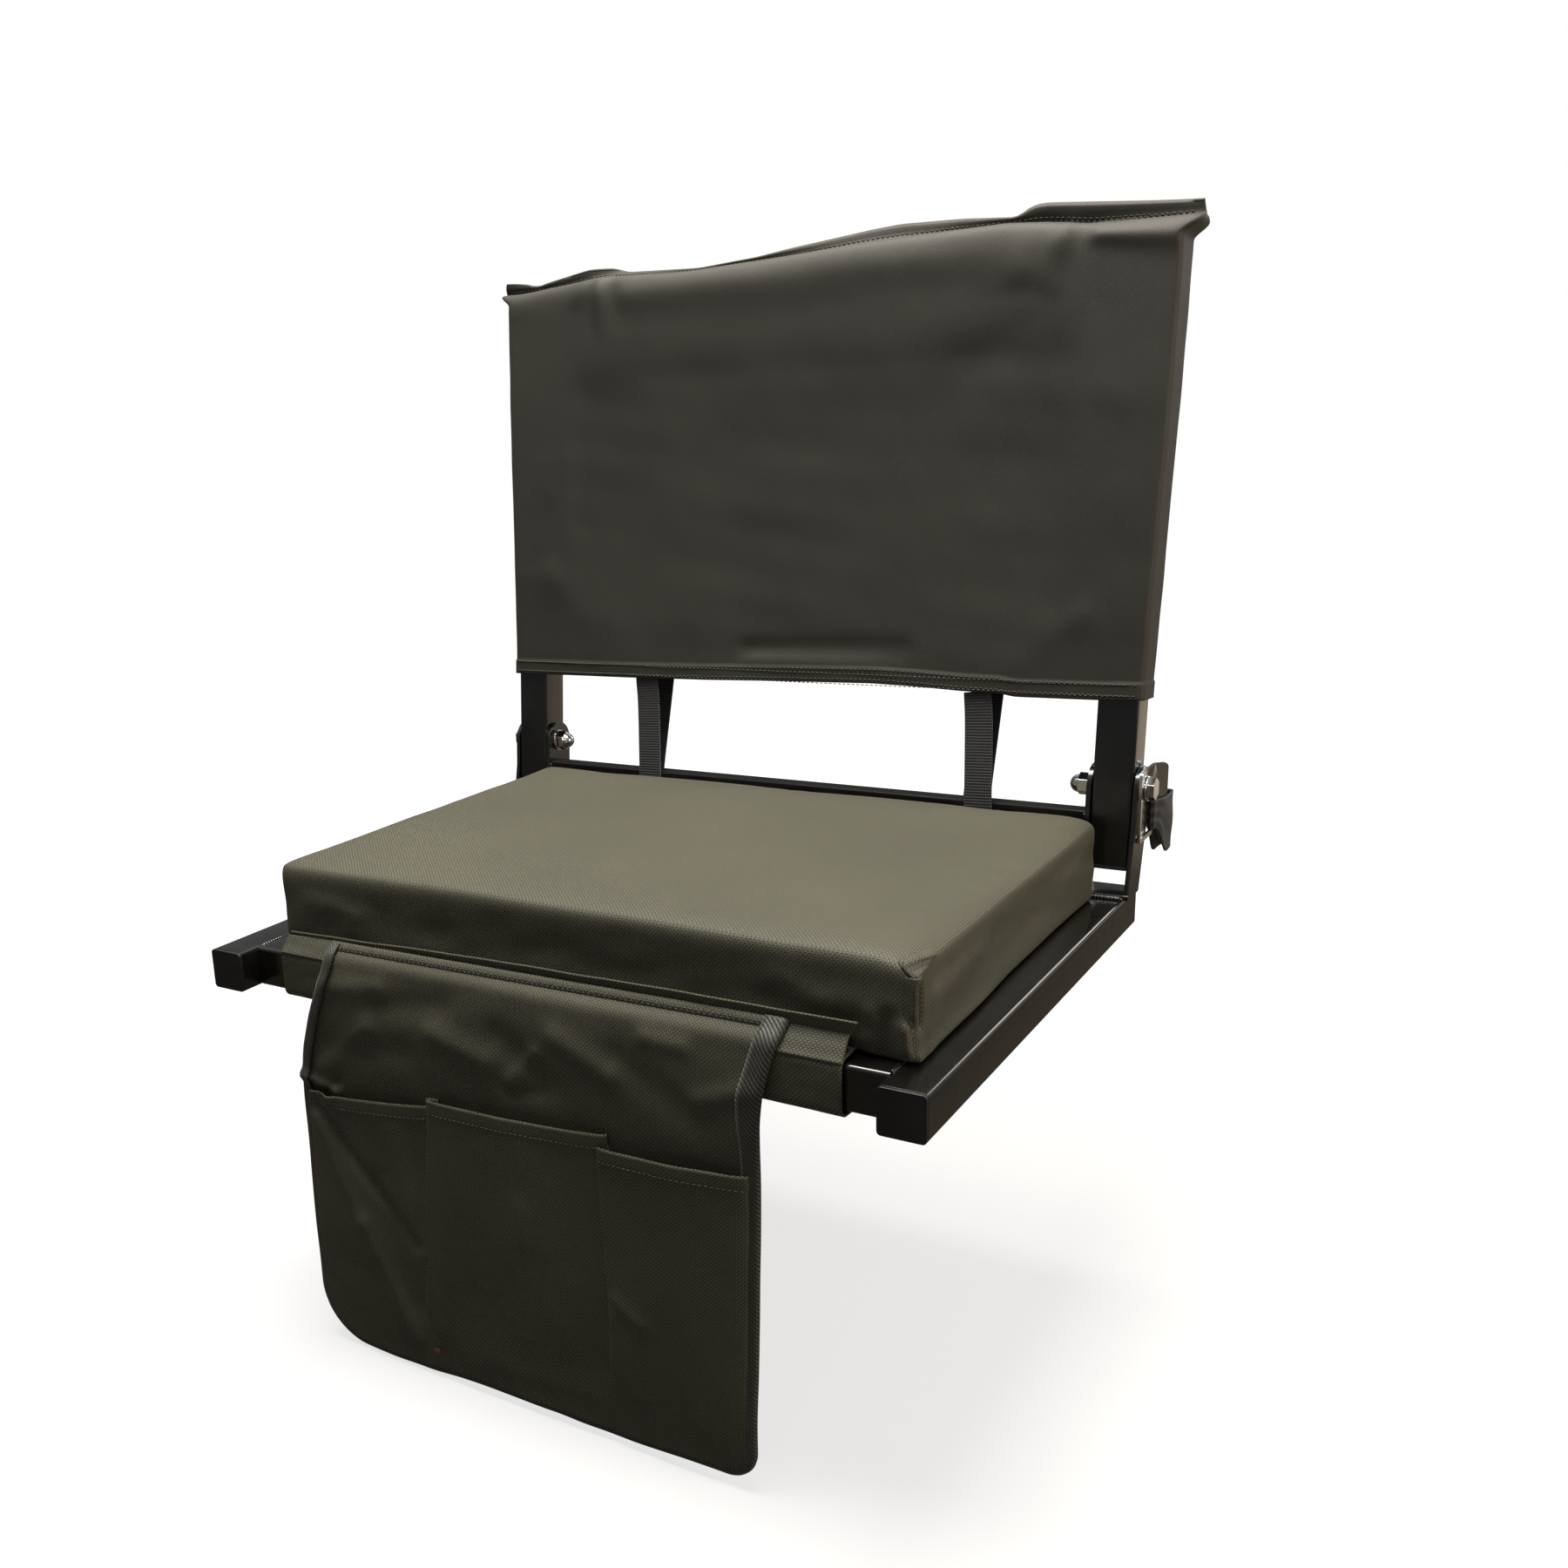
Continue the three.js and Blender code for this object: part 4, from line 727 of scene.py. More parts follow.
# %% Cover mesh
x, n, s, x0, n0, seam_row = cover_grid()
facing = np.sign(n0) * np.clip(np.abs(n0) / COVER_DEEP, 0, 1) ** 4
above_hem = s - line_at(HEM_LINE, x0)
relief = cover_relief(x, s, facing, above_hem) * (1 - step(s, 328, 352))
sideways = np.abs(x0) > COVER_HALF - COVER_RING_CORNER
n = n + relief * facing
x = x + np.sign(x0) * sideways * (0.7 * step(HEM_BAND - above_hem, 0, 0.8) + uneven(n, s, 60, 0.3, 5))
fin_share = step(s - line_at(SEAM_LINE, x0), 0, 4)
wave = 1.6 * np.sin(x / 31) * fin_share + 2.2 * fin_share * hill(x, -160, 26)
fin_lean = FIN_LEAN * np.maximum(0, s - line_at(SEAM_LINE, x0)) * step(np.abs(x0), 125, 160)
cover_points = lean(x, n + wave - fin_lean, s)
cover_ring = np.stack([x0, n0], -1)
around = run_along(np.vstack([cover_ring, cover_ring[:1]]))
up_cloth = run_along(cover_points[:, 20])
cover_cloth = np.stack(np.meshgrid(around, up_cloth), -1)
cover = grid_piece("back_cover_bag", cover_points, cover_cloth, COVER_CLOTH, ring=True)
close_doubles(cover)
thicken(cover, COVER_THICK)
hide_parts("back_cover")
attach(cover, "back_frame")

# %% Cover stitches
cover_normals = normals_of(cover_points)
front_columns = np.flatnonzero((n0 < 0) & ~sideways)
rear_columns = np.flatnonzero((n0 > 0) & ~sideways)
cover_faces = (("front", front_columns), ("rear", rear_columns))
for name, row in (("hem_edge", 2), ("hem_top", 5), ("seam", seam_row)):
    for face, columns in cover_faces:
        outward = cover_normals[row, columns]
        line = cover_points[row, columns] + outward * 0.1
        stitches(f"cover_{face}_{name}_stitches", line, outward, "back_frame")

# %% [markdown]
# ## The cover straps
# Two flat straps are sewn inside the hem and pass round the bar between the hinges, to keep the cover down.
# Each is one run of tape with a rectangular section, carried along its route, which crosses the fold.

# %% Straps with a flat section
STRAP_WIDE = 19.0
STRAP_THICK = 1.4
STRAP_TUCK = 14.0
STRAP_POINTS = 120


def tape(name, centres, outward, width_mm, thickness_mm, material):
    """A flat tape: a rectangle with rounded edges carried along centres. outward is the direction of
    its outer face at each centre, and its width lies across both."""
    centres, outward = np.asarray(centres, float), np.asarray(outward, float)
    along = np.gradient(centres, axis=0)
    along /= np.linalg.norm(along, axis=1, keepdims=True)
    up = outward - along * (outward * along).sum(1, keepdims=True)
    up /= np.linalg.norm(up, axis=1, keepdims=True)
    side = np.cross(along, up)
    width = np.broadcast_to(width_mm, len(centres))[:, None]
    section = rounded_ring(0.5, 0.5, 0.4, 0.12)
    flat = np.clip(section[:, 0] * 2, -1, 1)
    edge = np.sqrt(np.maximum(0, 1 - np.clip((np.abs(flat) - 0.94) / 0.06, 0, 1) ** 2))
    high = np.sign(section[:, 1]) * np.where(np.abs(section[:, 1]) > 0.12, 1, 0) * edge
    across = flat * width / 2
    points = centres[:, None] + side[:, None] * across[..., None]
    points = points + up[:, None] * (high * thickness_mm / 2)[None, :, None]
    run = run_along(centres)
    round_it = np.append(flat, flat[0]) * width / 2
    cloth = np.stack([round_it, np.broadcast_to(run[:, None], round_it.shape)], -1)
    piece = grid_piece(name, points, cloth, material, ring=True, flip=True)
    close_ends(piece)
    return piece


bar_low, bar_high = box_mm("rear_strap_bar")


def strap_route(centre, hem_s):
    """From inside the front hem down in front of the bar, round it, and up inside the rear hem. A
    strap kinks where it leaves the hem and slides a little to one side on the bar."""
    gap = STRAP_THICK / 2 + 0.5
    inside = COVER_DEEP - COVER_THICK - STRAP_THICK / 2 - 0.4
    front_top = lean(centre, -inside, hem_s + STRAP_TUCK)
    front_hem = lean(centre, -inside, hem_s)
    kink = lean(centre + 1.6, -inside + 0.4, hem_s - 22)
    rear_hem, rear_top = lean(centre, inside, hem_s), lean(centre, inside, hem_s + STRAP_TUCK)
    low, high = bar_low[2] - gap, bar_high[2]
    front, rear = bar_low[1] - gap, bar_high[1] + gap
    drift, skew = centre + 4, centre - 2
    stops = [front_top, front_hem, kink, (drift, front, high), (drift, front, low + 3)]
    stops += [(drift, front + 1.4, low), (skew, rear - 1.4, low), (skew, rear, low + 3)]
    stops += [(skew, rear, high), rear_hem, rear_top]
    return smooth_path(stops, STRAP_POINTS)


# %% Cover strap meshes
for side in SIDES:
    low, high = box_mm(f"{side}_cover_strap")
    centre = (low[0] + high[0]) / 2 - 1
    route = strap_route(centre, float(line_at(HEM_LINE, np.array(centre))))
    bar_middle = np.full(STRAP_POINTS, (bar_low[1] + bar_high[1]) / 2)
    middle_of = np.stack([route[:, 0], bar_middle, np.maximum(route[:, 2], bar_low[2] + 4)], -1)
    away = route - middle_of
    away[:, 0] = 0
    strap = tape(f"{side}_strap_tape", route, away, STRAP_WIDE, STRAP_THICK, STRAP_WEBBING)
    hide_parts(f"{side}_cover_strap")
    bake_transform(strap)
    print(strap.name, "length", round(float(run_along(route)[-1])), "mm")

# %% [markdown]
# ## The seat cushion
# The cushion is a foam slab in a tight boxed cover. A subdivided box gives even, lifeless corners, so
# the cover is inflated instead: a slightly small rounded box is remeshed, blown up by the Cloth modifier
# with a pressure, and held to 1.5 mm of travel because the foam is firm. The tucked front corner, the
# flat underside and the place where the folded back rests are then pressed into the result, because a
# remesh would erase them.

# %% Cushion
PAD_OVERHANG = 6.0
pad_low, pad_high = box_mm("seat_cushion")
pad_high[0] += PAD_OVERHANG
PAD_EDGE = 5.0
PAD_START_INSET = 2.5
PAD_UNDER_DRAW = 3.0
FLAT_STEPS = 25
ROUND_STEPS = 7
PAD_VOXEL = 4.0
PAD_TRAVEL = 1.5
PAD_PRESSURE = 4.0
BLOW_FRAMES = 20
PAD_TOP = pad_high[2] - 3.4
# Where the folded back comes down: its cloth and its hem stand off by this much, with some air
FOLDED_STAND = COVER_DEEP + 1.9
FOLDED_HEM = 48.0
FOLDED_SOFTNESS = 0.4
pad_middle = (pad_low + pad_high) / 2
pad_half = (pad_high - pad_low) / 2


def pad_shell(inset):
    """A closed shell of two grids: shares from the middle outward, round a rounded rectangle, over the
    top and down the side. The profile is flat, then a quarter circle, then straight down."""
    ring = rounded_ring(1.0, 1.0, 0.025, 0.02)
    half = pad_half[:2] - inset
    tall = PAD_TOP - pad_low[2]
    turn = np.linspace(0, math.pi / 2, ROUND_STEPS)
    over = np.linspace(0, 1, FLAT_STEPS + 1)
    share = np.concatenate([over[:-1], np.ones(2 * ROUND_STEPS), over[::-1]])
    draw = PAD_EDGE * np.concatenate([np.ones(FLAT_STEPS), 1 - np.sin(turn), np.zeros(ROUND_STEPS)])
    draw = np.append(draw, np.full(FLAT_STEPS + 1, PAD_UNDER_DRAW))
    side = np.linspace(PAD_EDGE + 3, tall - 4, ROUND_STEPS)
    down = np.concatenate([np.zeros(FLAT_STEPS), PAD_EDGE * (1 - np.cos(turn)), side])
    down = np.append(down, np.full(FLAT_STEPS + 1, tall - 2 * inset))
    reach = (half - draw[:, None]) * share[:, None]
    flat = ring[None] * reach[:, None]
    height = np.broadcast_to((PAD_TOP - inset - down)[:, None], flat.shape[:2])
    return np.concatenate([flat + pad_middle[:2], height[..., None]], -1)


def read_points(mesh):
    """The mesh's points in millimetres."""
    flat = np.empty(len(mesh.vertices) * 3, np.float32)
    mesh.vertices.foreach_get("co", flat)
    return flat.reshape(-1, 3).astype(float) / MM


def write_points(mesh, points):
    """Moves the mesh's points to places in millimetres."""
    mesh.vertices.foreach_set("co", (points * MM).astype(np.float32).ravel())
    mesh.update()


def apply_modifiers(piece):
    """Replaces the mesh by what its modifiers make of it."""
    graph = bpy.context.evaluated_depsgraph_get()
    made = bpy.data.meshes.new_from_object(piece.evaluated_get(graph))
    piece.modifiers.clear()
    piece.data = made


def inflate(piece, pressure, travel_mm):
    """Blows the closed mesh up like a balloon without gravity, and caps how far each point moves."""
    rest = read_points(piece.data)
    cloth = piece.modifiers.new("inflate", "CLOTH")
    cloth.settings.use_pressure = True
    cloth.settings.uniform_pressure_force = pressure
    cloth.settings.effector_weights.gravity = 0
    cloth.settings.tension_stiffness = 20
    cloth.settings.bending_stiffness = 2
    cloth.point_cache.frame_start = 1
    cloth.point_cache.frame_end = BLOW_FRAMES
    for number in range(1, BLOW_FRAMES + 1):
        bpy.context.scene.frame_set(number)
    apply_modifiers(piece)
    moved = read_points(piece.data) - rest
    length = np.linalg.norm(moved, axis=1, keepdims=True)
    write_points(piece.data, rest + moved * np.minimum(1, travel_mm / np.maximum(length, 1e-6)))
    bpy.context.scene.frame_set(1)


# %% Blow the cushion up
shell = pad_shell(PAD_START_INSET)
pad_cloth = np.zeros((shell.shape[0], shell.shape[1] + 1, 2))
cushion = grid_piece("cushion_pad", shell, pad_cloth, SEAT_CLOTH, ring=True)
close_doubles(cushion)
remesh = cushion.modifiers.new("even mesh", "REMESH")
remesh.mode = "VOXEL"
remesh.voxel_size = PAD_VOXEL * MM
apply_modifiers(cushion)
inflate(cushion, PAD_PRESSURE, PAD_TRAVEL)
round_off = cushion.modifiers.new("finer mesh", "SUBSURF")
round_off.levels = 1
round_off.render_levels = 1
apply_modifiers(cushion)
print("cushion:", len(cushion.data.vertices), "points")

# %% Cushion shape
PAD_CROWN = 3.2
PAD_EDGE_DROP = 1.2
SIDE_WAVE = 1.1
SIDE_TUCK = 2.2
FOOT_ROUND = 5.0
# The rounded rim at the foot of the right face, and the fall of the right top edge
RIM_Z = pad_low[2] + 4.0
RIM_OUT = 2.2
RIM_HALF = 2.4
EDGE_SOFT = 14.0
EDGE_FALL = 2.4
# The underside lies flat on the deck, and beyond the deck's sides it sags down to the steel
FLAT_BAND = 8.0
SIDE_SAG = 1.5
SIDE_SAG_FROM = 190.0
TUCK_FOOT_Z = PAD_TOP - 9.0
PUCKER_REACH = 45
TIP_REACH = 9
MOUTH_SINK = 1.6
# The tucked corner is at +X and -Y, and its tuck reaches this far along each face
CORNER_SIGNS = np.array([1, -1])
TUCK_WIDE = np.array([10.0, 31.0])
pad_corner = pad_middle[:2] + pad_half[:2] * CORNER_SIGNS
# Folds beside a corner, as (along the faces from the corner, z): above zero is the x face
CORNER_PUCKERS = [((6, 34), (8, 46), 3.0, 3.2), ((15, 33), (16, 50), 3.6, -2.2),
                  ((25, 36), (26, 50), 4.5, 1.6), ((-5, 45), (-5, 66), 2.2, -2.6),
                  ((-16, 36), (-24, 58), 5.0, 1.5), ((-34, 40), (-42, 60), 6.0, -1.0)]


def press_top(p, share, rise):
    """Crowned towards the middle, uneven, and pressed flat where the folded back rests. The limit is
    soft: z loses softness times log(1 + e^(above / softness))."""
    middle = np.clip(1 - share[:, 0] ** 2, 0, 1) * np.clip(1 - share[:, 1] ** 2, 0, 1)
    p[:, 2] += rise**2 * (PAD_CROWN * middle**0.7 - PAD_EDGE_DROP)
    p[:, 2] += rise**2 * uneven(p[:, 0], p[:, 1], 120, 0.7, 21)
    folded_along = np.maximum(PIVOT_Y - p[:, 1], FOLDED_HEM)
    folded_z = PIVOT_Z - FOLDED_STAND * math.cos(RECLINE) + folded_along * math.sin(RECLINE)
    above = (p[:, 2] - folded_z) / FOLDED_SOFTNESS
    p[:, 2] -= FOLDED_SOFTNESS * np.log1p(np.exp(above))


def draw_in_sides(p, share, rise):
    """Each side is drawn in along its middle height, most at its middle, with waves in it. Its foot is
    pushed out as much as a quarter circle is short there, which keeps the lower edge crisp."""
    side_band = bell(rise - 0.45, 0.3)
    for axis in (0, 1):
        other = 1 - axis
        face = np.sign(share[:, axis]) * step(np.abs(share[:, axis]), 0.9, 0.99)
        wave = uneven(p[:, other], p[:, 2] * 2.5, 55, SIDE_WAVE, 30 + axis)
        tuck = -SIDE_TUCK * side_band * (1 - share[:, other] ** 2)
        foot = np.clip(1 - (p[:, 2] - pad_low[2]) / FOOT_ROUND, 0, 1)
        crisp = FOOT_ROUND * (1 - np.sqrt(1 - foot**2))
        p[:, axis] += face * (wave * side_band * (1 - foot) + tuck + crisp * 0.8)


def cut_corner(p, rise):
    """The tucked corner: what lies outside the line between the tuck's two ends goes back to it, the
    cloth beside it puckers, its foot stands out and its top sinks."""
    inward = (pad_corner - p[:, :2]) * CORNER_SIGNS
    wide = TUCK_WIDE * step(p[:, 2], TUCK_FOOT_Z, TUCK_FOOT_Z + 5)[:, None] + 0.01
    beyond = np.maximum(0, 1 - (inward / wide).sum(1))[:, None]
    cut = beyond / wide / (1 / wide**2).sum(1, keepdims=True)
    reach, across = inward.sum(1), inward[:, 0] - inward[:, 1]
    pucker = sum(fold(across, p[:, 2], *values) for values in CORNER_PUCKERS)
    tip = bell(reach, TIP_REACH) * (1 - rise) ** 2 + bell(reach, PUCKER_REACH) * pucker
    p[:, :2] += (tip[:, None] - cut) * CORNER_SIGNS
    p[:, 2] -= MOUTH_SINK * bell(reach, 30) * bell(across, 22) * rise**4


def settle_edges(p, share, rise):
    """The right top edge falls, its foot has a rim, and the underside is flat but sags at the sides."""
    p[:, 2] -= EDGE_FALL * rise**2 * bell(pad_high[0] - p[:, 0], EDGE_SOFT)
    right_face = step(share[:, 0], 0.93, 0.98) * step(170 - p[:, 1], 0, 60)
    p[:, 0] += RIM_OUT * right_face * bell(p[:, 2] - RIM_Z, RIM_HALF)
    off_deck = np.maximum(p[:, 2] - pad_low[2], 0)
    p[:, 2] = pad_low[2] + off_deck * step(off_deck, 0, FLAT_BAND)
    p[:, 2] -= SIDE_SAG * step(np.abs(p[:, 0]), SIDE_SAG_FROM, SIDE_SAG_FROM + 9) * (1 - rise) ** 2


def press_cushion(p):
    """Scales the blown pad to its box, and then presses it. share is a point's place as a share of the
    half sizes, and rise is its height as a share of the whole."""
    low, high = p.min(0), p.max(0)
    target_low = np.array([*pad_low[:2], pad_low[2] + 0.2])
    target_high = np.array([*pad_high[:2], PAD_TOP + 1.5])
    p = target_low + (p - low) / (high - low) * (target_high - target_low)
    share = (p - pad_middle) / pad_half
    rise = np.clip((p[:, 2] - pad_low[2]) / (PAD_TOP - pad_low[2]), 0, 1)
    press_top(p, share, rise)
    draw_in_sides(p, share, rise)
    cut_corner(p, rise)
    settle_edges(p, share, rise)
    return p


def box_mapped(piece):
    """Cloth places for a boxed cushion: each face takes the two axes that it faces least."""
    mesh = piece.data
    points = read_points(mesh)
    normals = np.array([face.normal for face in mesh.polygons])
    counts = np.array([face.loop_total for face in mesh.polygons])
    vertex = np.empty(len(mesh.loops), np.int32)
    mesh.loops.foreach_get("vertex_index", vertex)
    facing_axis = np.repeat(np.argmax(np.abs(normals) * (1, 1, 1.2), axis=1), counts)
    pairs = np.array([(1, 2), (0, 2), (0, 1)])[facing_axis]
    places = np.take_along_axis(points[vertex], pairs, axis=1)
    layer = mesh.uv_layers.get("cloth") or mesh.uv_layers.new(name="cloth")
    layer.uv.foreach_set("vector", (places * MM).astype(np.float32).ravel())


# %% Press the cushion
write_points(cushion.data, press_cushion(read_points(cushion.data)))
box_mapped(cushion)
cushion.data.materials.clear()
cushion.data.materials.append(SEAT_CLOTH)
cushion.data.shade_smooth()
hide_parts("seat_cushion")
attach(cushion, "seat_frame")
print("cushion from", read_points(cushion.data).min(0), "to", read_points(cushion.data).max(0))

# %% [markdown]
# ## The cushion's tucked corner
# The cover is boxed like a parcel. At the right front corner the top cloth is tucked in under a rolled
# edge, which leaves a small triangle of cloth with an open mouth. Below it the front piece laps over the
# side piece, and its free edge stands off a little. The other corners are pulled tight and show neither.
# Each trim is a small grid round the corner. It is laid on the pad by a Shrinkwrap modifier, and only then
# lifted by its own heights, so that it stays on the cloth wherever the pad has been pressed.

# %% Corner tucks and laps
TUCK_MOUTH_Z = PAD_TOP - 2.0
LAP_FOOT_Z = pad_low[2] + 17.0
# Round the corner in plan, as inward distances from the two faces
LAP_STOPS = [(11, 0), (7, 0), (3.5, 0), (1.2, 0.2), (0.2, 1.2), (0, 2.8)]
ROLL_Z = PAD_TOP - 0.4
# Across the rolled edge, as (out of the corner, up)
ROLL = [(-5, 0.3), (-3, 1.2), (-1, 1.4), (1.0, 1.0), (2.2, 0.1), (1.8, -0.9), (0.2, -1.3), (-2, -1.3)]
mouth_wide = math.hypot(*TUCK_WIDE)


def laid_on_pad(inward_x, inward_y, z):
    """Carries inward distances from the corner's faces to the nearest places on the pad, with normals."""
    x = pad_corner[0] - CORNER_SIGNS[0] * inward_x
    y = pad_corner[1] - CORNER_SIGNS[1] * inward_y
    points = stacked(x, y, z)
    guide = grid_piece("guide", points, np.zeros(points.shape[:2] + (2,)), SEAT_CLOTH)
    wrap = guide.modifiers.new("lay on the pad", "SHRINKWRAP")
    wrap.target = cushion
    apply_modifiers(guide)
    laid = read_points(guide.data).reshape(points.shape)
    bpy.data.objects.remove(guide)
    for _ in range(2):
        laid[1:-1] = (laid[:-2] + 2 * laid[1:-1] + laid[2:]) / 4
        laid[:, 1:-1] = (laid[:, :-2] + 2 * laid[:, 1:-1] + laid[:, 2:]) / 4
    normals = normals_of(laid)
    outward = np.sign((normals * (laid - np.array([*pad_middle[:2], 0]))).sum(-1).mean())
    return laid, normals * outward


def corner_trim(name, points, cloth, thickness_mm, flip=True):
    """A small sewn piece: the grid with its thickness, attached to the seat frame."""
    piece = grid_piece(name, points, cloth, SEAT_CLOTH, flip=flip)
    thicken(piece, thickness_mm, 0.0)
    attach(piece, "seat_frame")


def corner_tuck(name):
    """Rows go down from the mouth to the point. Each row runs from one face to the other, and stands
    off by a parabola that is highest at the mouth."""
    down = np.linspace(0, 1, 18)[:, None]
    share = np.linspace(0, 1, 34)
    arch = 4 * share * (1 - share)
    mouth = TUCK_MOUTH_Z - 1.2 * share - 1.3 * arch
    z = mouth + (TUCK_FOOT_Z - 1.5 - mouth) * down
    across_x, across_y = TUCK_WIDE[0] * (1 - down) * (1 - share), TUCK_WIDE[1] * (1 - down) * share
    laid, outward = laid_on_pad(across_x, across_y, z)
    stand = 0.5 + 2.0 * (1 - down) ** 2 * arch
    cloth = stacked(share * mouth_wide, z)
    corner_trim(name, laid + outward * stand[..., None], cloth, 0.8)


def corner_roll(name):
    """The rolled edge over the mouth: the section is carried from face to face and sinks at both ends."""
    share = np.linspace(-0.04, 1.04, 40)[:, None]
    across_x, across_y = TUCK_WIDE[0] * (1 - share) * np.ones(2), TUCK_WIDE[1] * share
    laid, _ = laid_on_pad(across_x, across_y, ROLL_Z - share - 0.2 * np.arange(2))
    away = np.array([*(CORNER_SIGNS * TUCK_WIDE[::-1]), 0]) / mouth_wide
    section = smooth_path(ROLL, 20)
    sink = 2.2 * np.clip(np.abs(2 * share - 1) - 0.7, 0, 1) / 0.3
    out = section[:, 0] - sink
    up = section[:, 1] - 0.5 * sink + 0.2 * np.sin(share * 17)
    points = laid[:, :1] + away * out[..., None] + np.array([0, 0, 1]) * up[..., None]
    cloth = stacked(run_along(section), share * mouth_wide)
    corner_trim(name, points, cloth, 0.6, flip=False)


def corner_lap(name):
    """The front piece carried round the corner, sunk into the pad at its far side and at its foot."""
    plan = smooth_path(LAP_STOPS, 34)
    down = np.linspace(0, 1, 30)[:, None]
    share = np.linspace(0, 1, 34)
    z = TUCK_FOOT_Z + (LAP_FOOT_Z - TUCK_FOOT_Z) * down + 0 * share
    ripple = 0.35 * share**2 * np.sin(down * 15 + 1)
    laid, outward = laid_on_pad(plan[:, 0] - ripple, plan[:, 1] + 0 * down, z)
    stand = -1.0 + 2.6 * step(share, 0, 0.9) - 2.4 * np.clip(down - 0.75, 0, 1) / 0.25
    cloth = stacked(run_along(plan), z)
    corner_trim(name, laid + outward * stand[..., None], cloth, 0.9)


corner_tuck("cushion_corner_tuck")
corner_roll("cushion_corner_roll")
corner_lap("cushion_corner_lap")
print("tuck, roll and lap")

# %% [markdown]
# ## The deck and its sleeves
# Under the cushion a cloth deck is stretched between the two cross tubes, and each end is sewn back round
# its tube as a sleeve. A sleeve is a ring round the tube, carried along it, with a soft bulge. At the
# front a gusset climbs like a ramp from the sleeve to the cushion, and the seam allowance there stands up
# as a narrow flange along the cushion's lower edge.

# %% Deck and sleeves
deck_low, deck_high = box_mm("seat_deck")
front_tube = box_mm("front_cross_tube")
rear_tube = box_mm("rear_cross_tube")
DECK_THICK = 1.2
DECK_SAG = 1.4
SLEEVE_EASE = 1.7
RAMP_FOOT = np.array([deck_low[1], front_tube[1][2] + SLEEVE_EASE])
RAMP_TOP = np.array([deck_low[1] + 11, deck_high[2]])


def sleeve(name, tube, x_start, x_end, seed):
    """A ring round the tube at each step along X: a rounded square, bulged and sagged by soft waves."""
    centre_y, centre_z = (tube[0][1] + tube[1][1]) / 2, (tube[0][2] + tube[1][2]) / 2
    ring = rounded_ring(TUBE_HALF + SLEEVE_EASE, TUBE_HALF + SLEEVE_EASE, 4.6, 1.6)
    x = np.linspace(x_start, x_end, 160)[:, None]
    slack = 0.5 + uneven(x, ring[:, 0] * 3, 70, 0.7, seed) + uneven(x, ring[:, 1] * 2, 24, 0.25, seed + 1)
    under = 1.3 * np.clip(-ring[:, 1] / TUBE_HALF, 0, 1) * hill(np.abs(ring[:, 0]), 0, TUBE_HALF + 3)
    length = np.linalg.norm(ring, axis=1)
    grow = 1 + np.maximum(slack, 0) / length
    y = centre_y + ring[:, 0] * grow
    z = centre_z + ring[:, 1] * grow - under * 0.4
    points = stacked(x + 0 * y, y, z)
    run = run_along(np.vstack([ring, ring[:1]]))
    cloth = np.stack(np.meshgrid(run, x[:, 0]), -1)
    piece = grid_piece(name, points, cloth, SEAT_CLOTH, ring=True, flip=True)
    thicken(piece, DECK_THICK)
    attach(piece, "seat_frame")
    return points


front_sleeve_points = sleeve("front_sleeve", front_tube, deck_low[0], deck_high[0], 41)
sleeve("rear_sleeve", rear_tube, deck_low[0], deck_high[0], 51)

# %% Deck
deck_x = np.linspace(deck_low[0], deck_high[0], 60)
deck_y = np.linspace(front_tube[1][1] - 6, rear_tube[0][1] + 6, 60)
deck_xx, deck_yy = np.meshgrid(deck_x, deck_y)
deck_middle = (front_tube[1][1] + rear_tube[0][1]) / 2
deck_sag = DECK_SAG * hill(deck_yy, deck_middle, 120) * hill(deck_xx, 0, 190)
deck_zz = front_tube[1][2] + SLEEVE_EASE - 0.4 - deck_sag
deck_points = np.stack([deck_xx, deck_yy, deck_zz], -1)
deck = grid_piece("seat_deck_cloth", deck_points, deck_points[..., :2], LINING_CLOTH)
thicken(deck, DECK_THICK)
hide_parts("seat_deck")
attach(deck, "seat_frame")
print("deck and two sleeves")

# %% Front gusset
FLANGE_THICK = 1.1
FLANGE_TALL = 10.5
FLANGE_Y = pad_low[1] - 1.9
FLANGE_END_SLANT = 6.0
FLANGE_LEAN = 2.6
# The flange's upper edge as (x, z), read from the photograph
FLANGE_TOP_LINE = [(-187, 38.0), (-110, 40.6), (-37, 43.2), (79, 45.2), (194, 46.0)]
ramp_length = float(np.linalg.norm(RAMP_TOP - RAMP_FOOT))
ramp_along = (RAMP_TOP - RAMP_FOOT) / ramp_length
ramp_out = np.array([-ramp_along[1], ramp_along[0]])

# The gusset ends a little below the flange's upper edge
gusset_x = np.linspace(deck_low[0], deck_high[0], 190)[:, None]
gusset_top = (np.interp(gusset_x, *zip(*FLANGE_TOP_LINE)) - 2.5 - RAMP_FOOT[1]) / ramp_along[1]
gusset_along = -1.5 + (np.minimum(gusset_top, ramp_length + 2) + 1.5) * np.linspace(0, 1, 16)
gusset_out = 0.2 + uneven(gusset_x, 4 * gusset_along, 46, 0.4, 61)
gusset_y = RAMP_FOOT[0] + ramp_along[0] * gusset_along + ramp_out[0] * gusset_out
gusset_z = RAMP_FOOT[1] + ramp_along[1] * gusset_along + ramp_out[1] * gusset_out
gusset_points = stacked(gusset_x, gusset_y, gusset_z)
gusset_cloth = stacked(gusset_along, gusset_x)
gusset = grid_piece("deck_front_gusset", gusset_points, gusset_cloth, SEAT_CLOTH)
thicken(gusset, DECK_THICK, 0.0)
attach(gusset, "seat_frame")

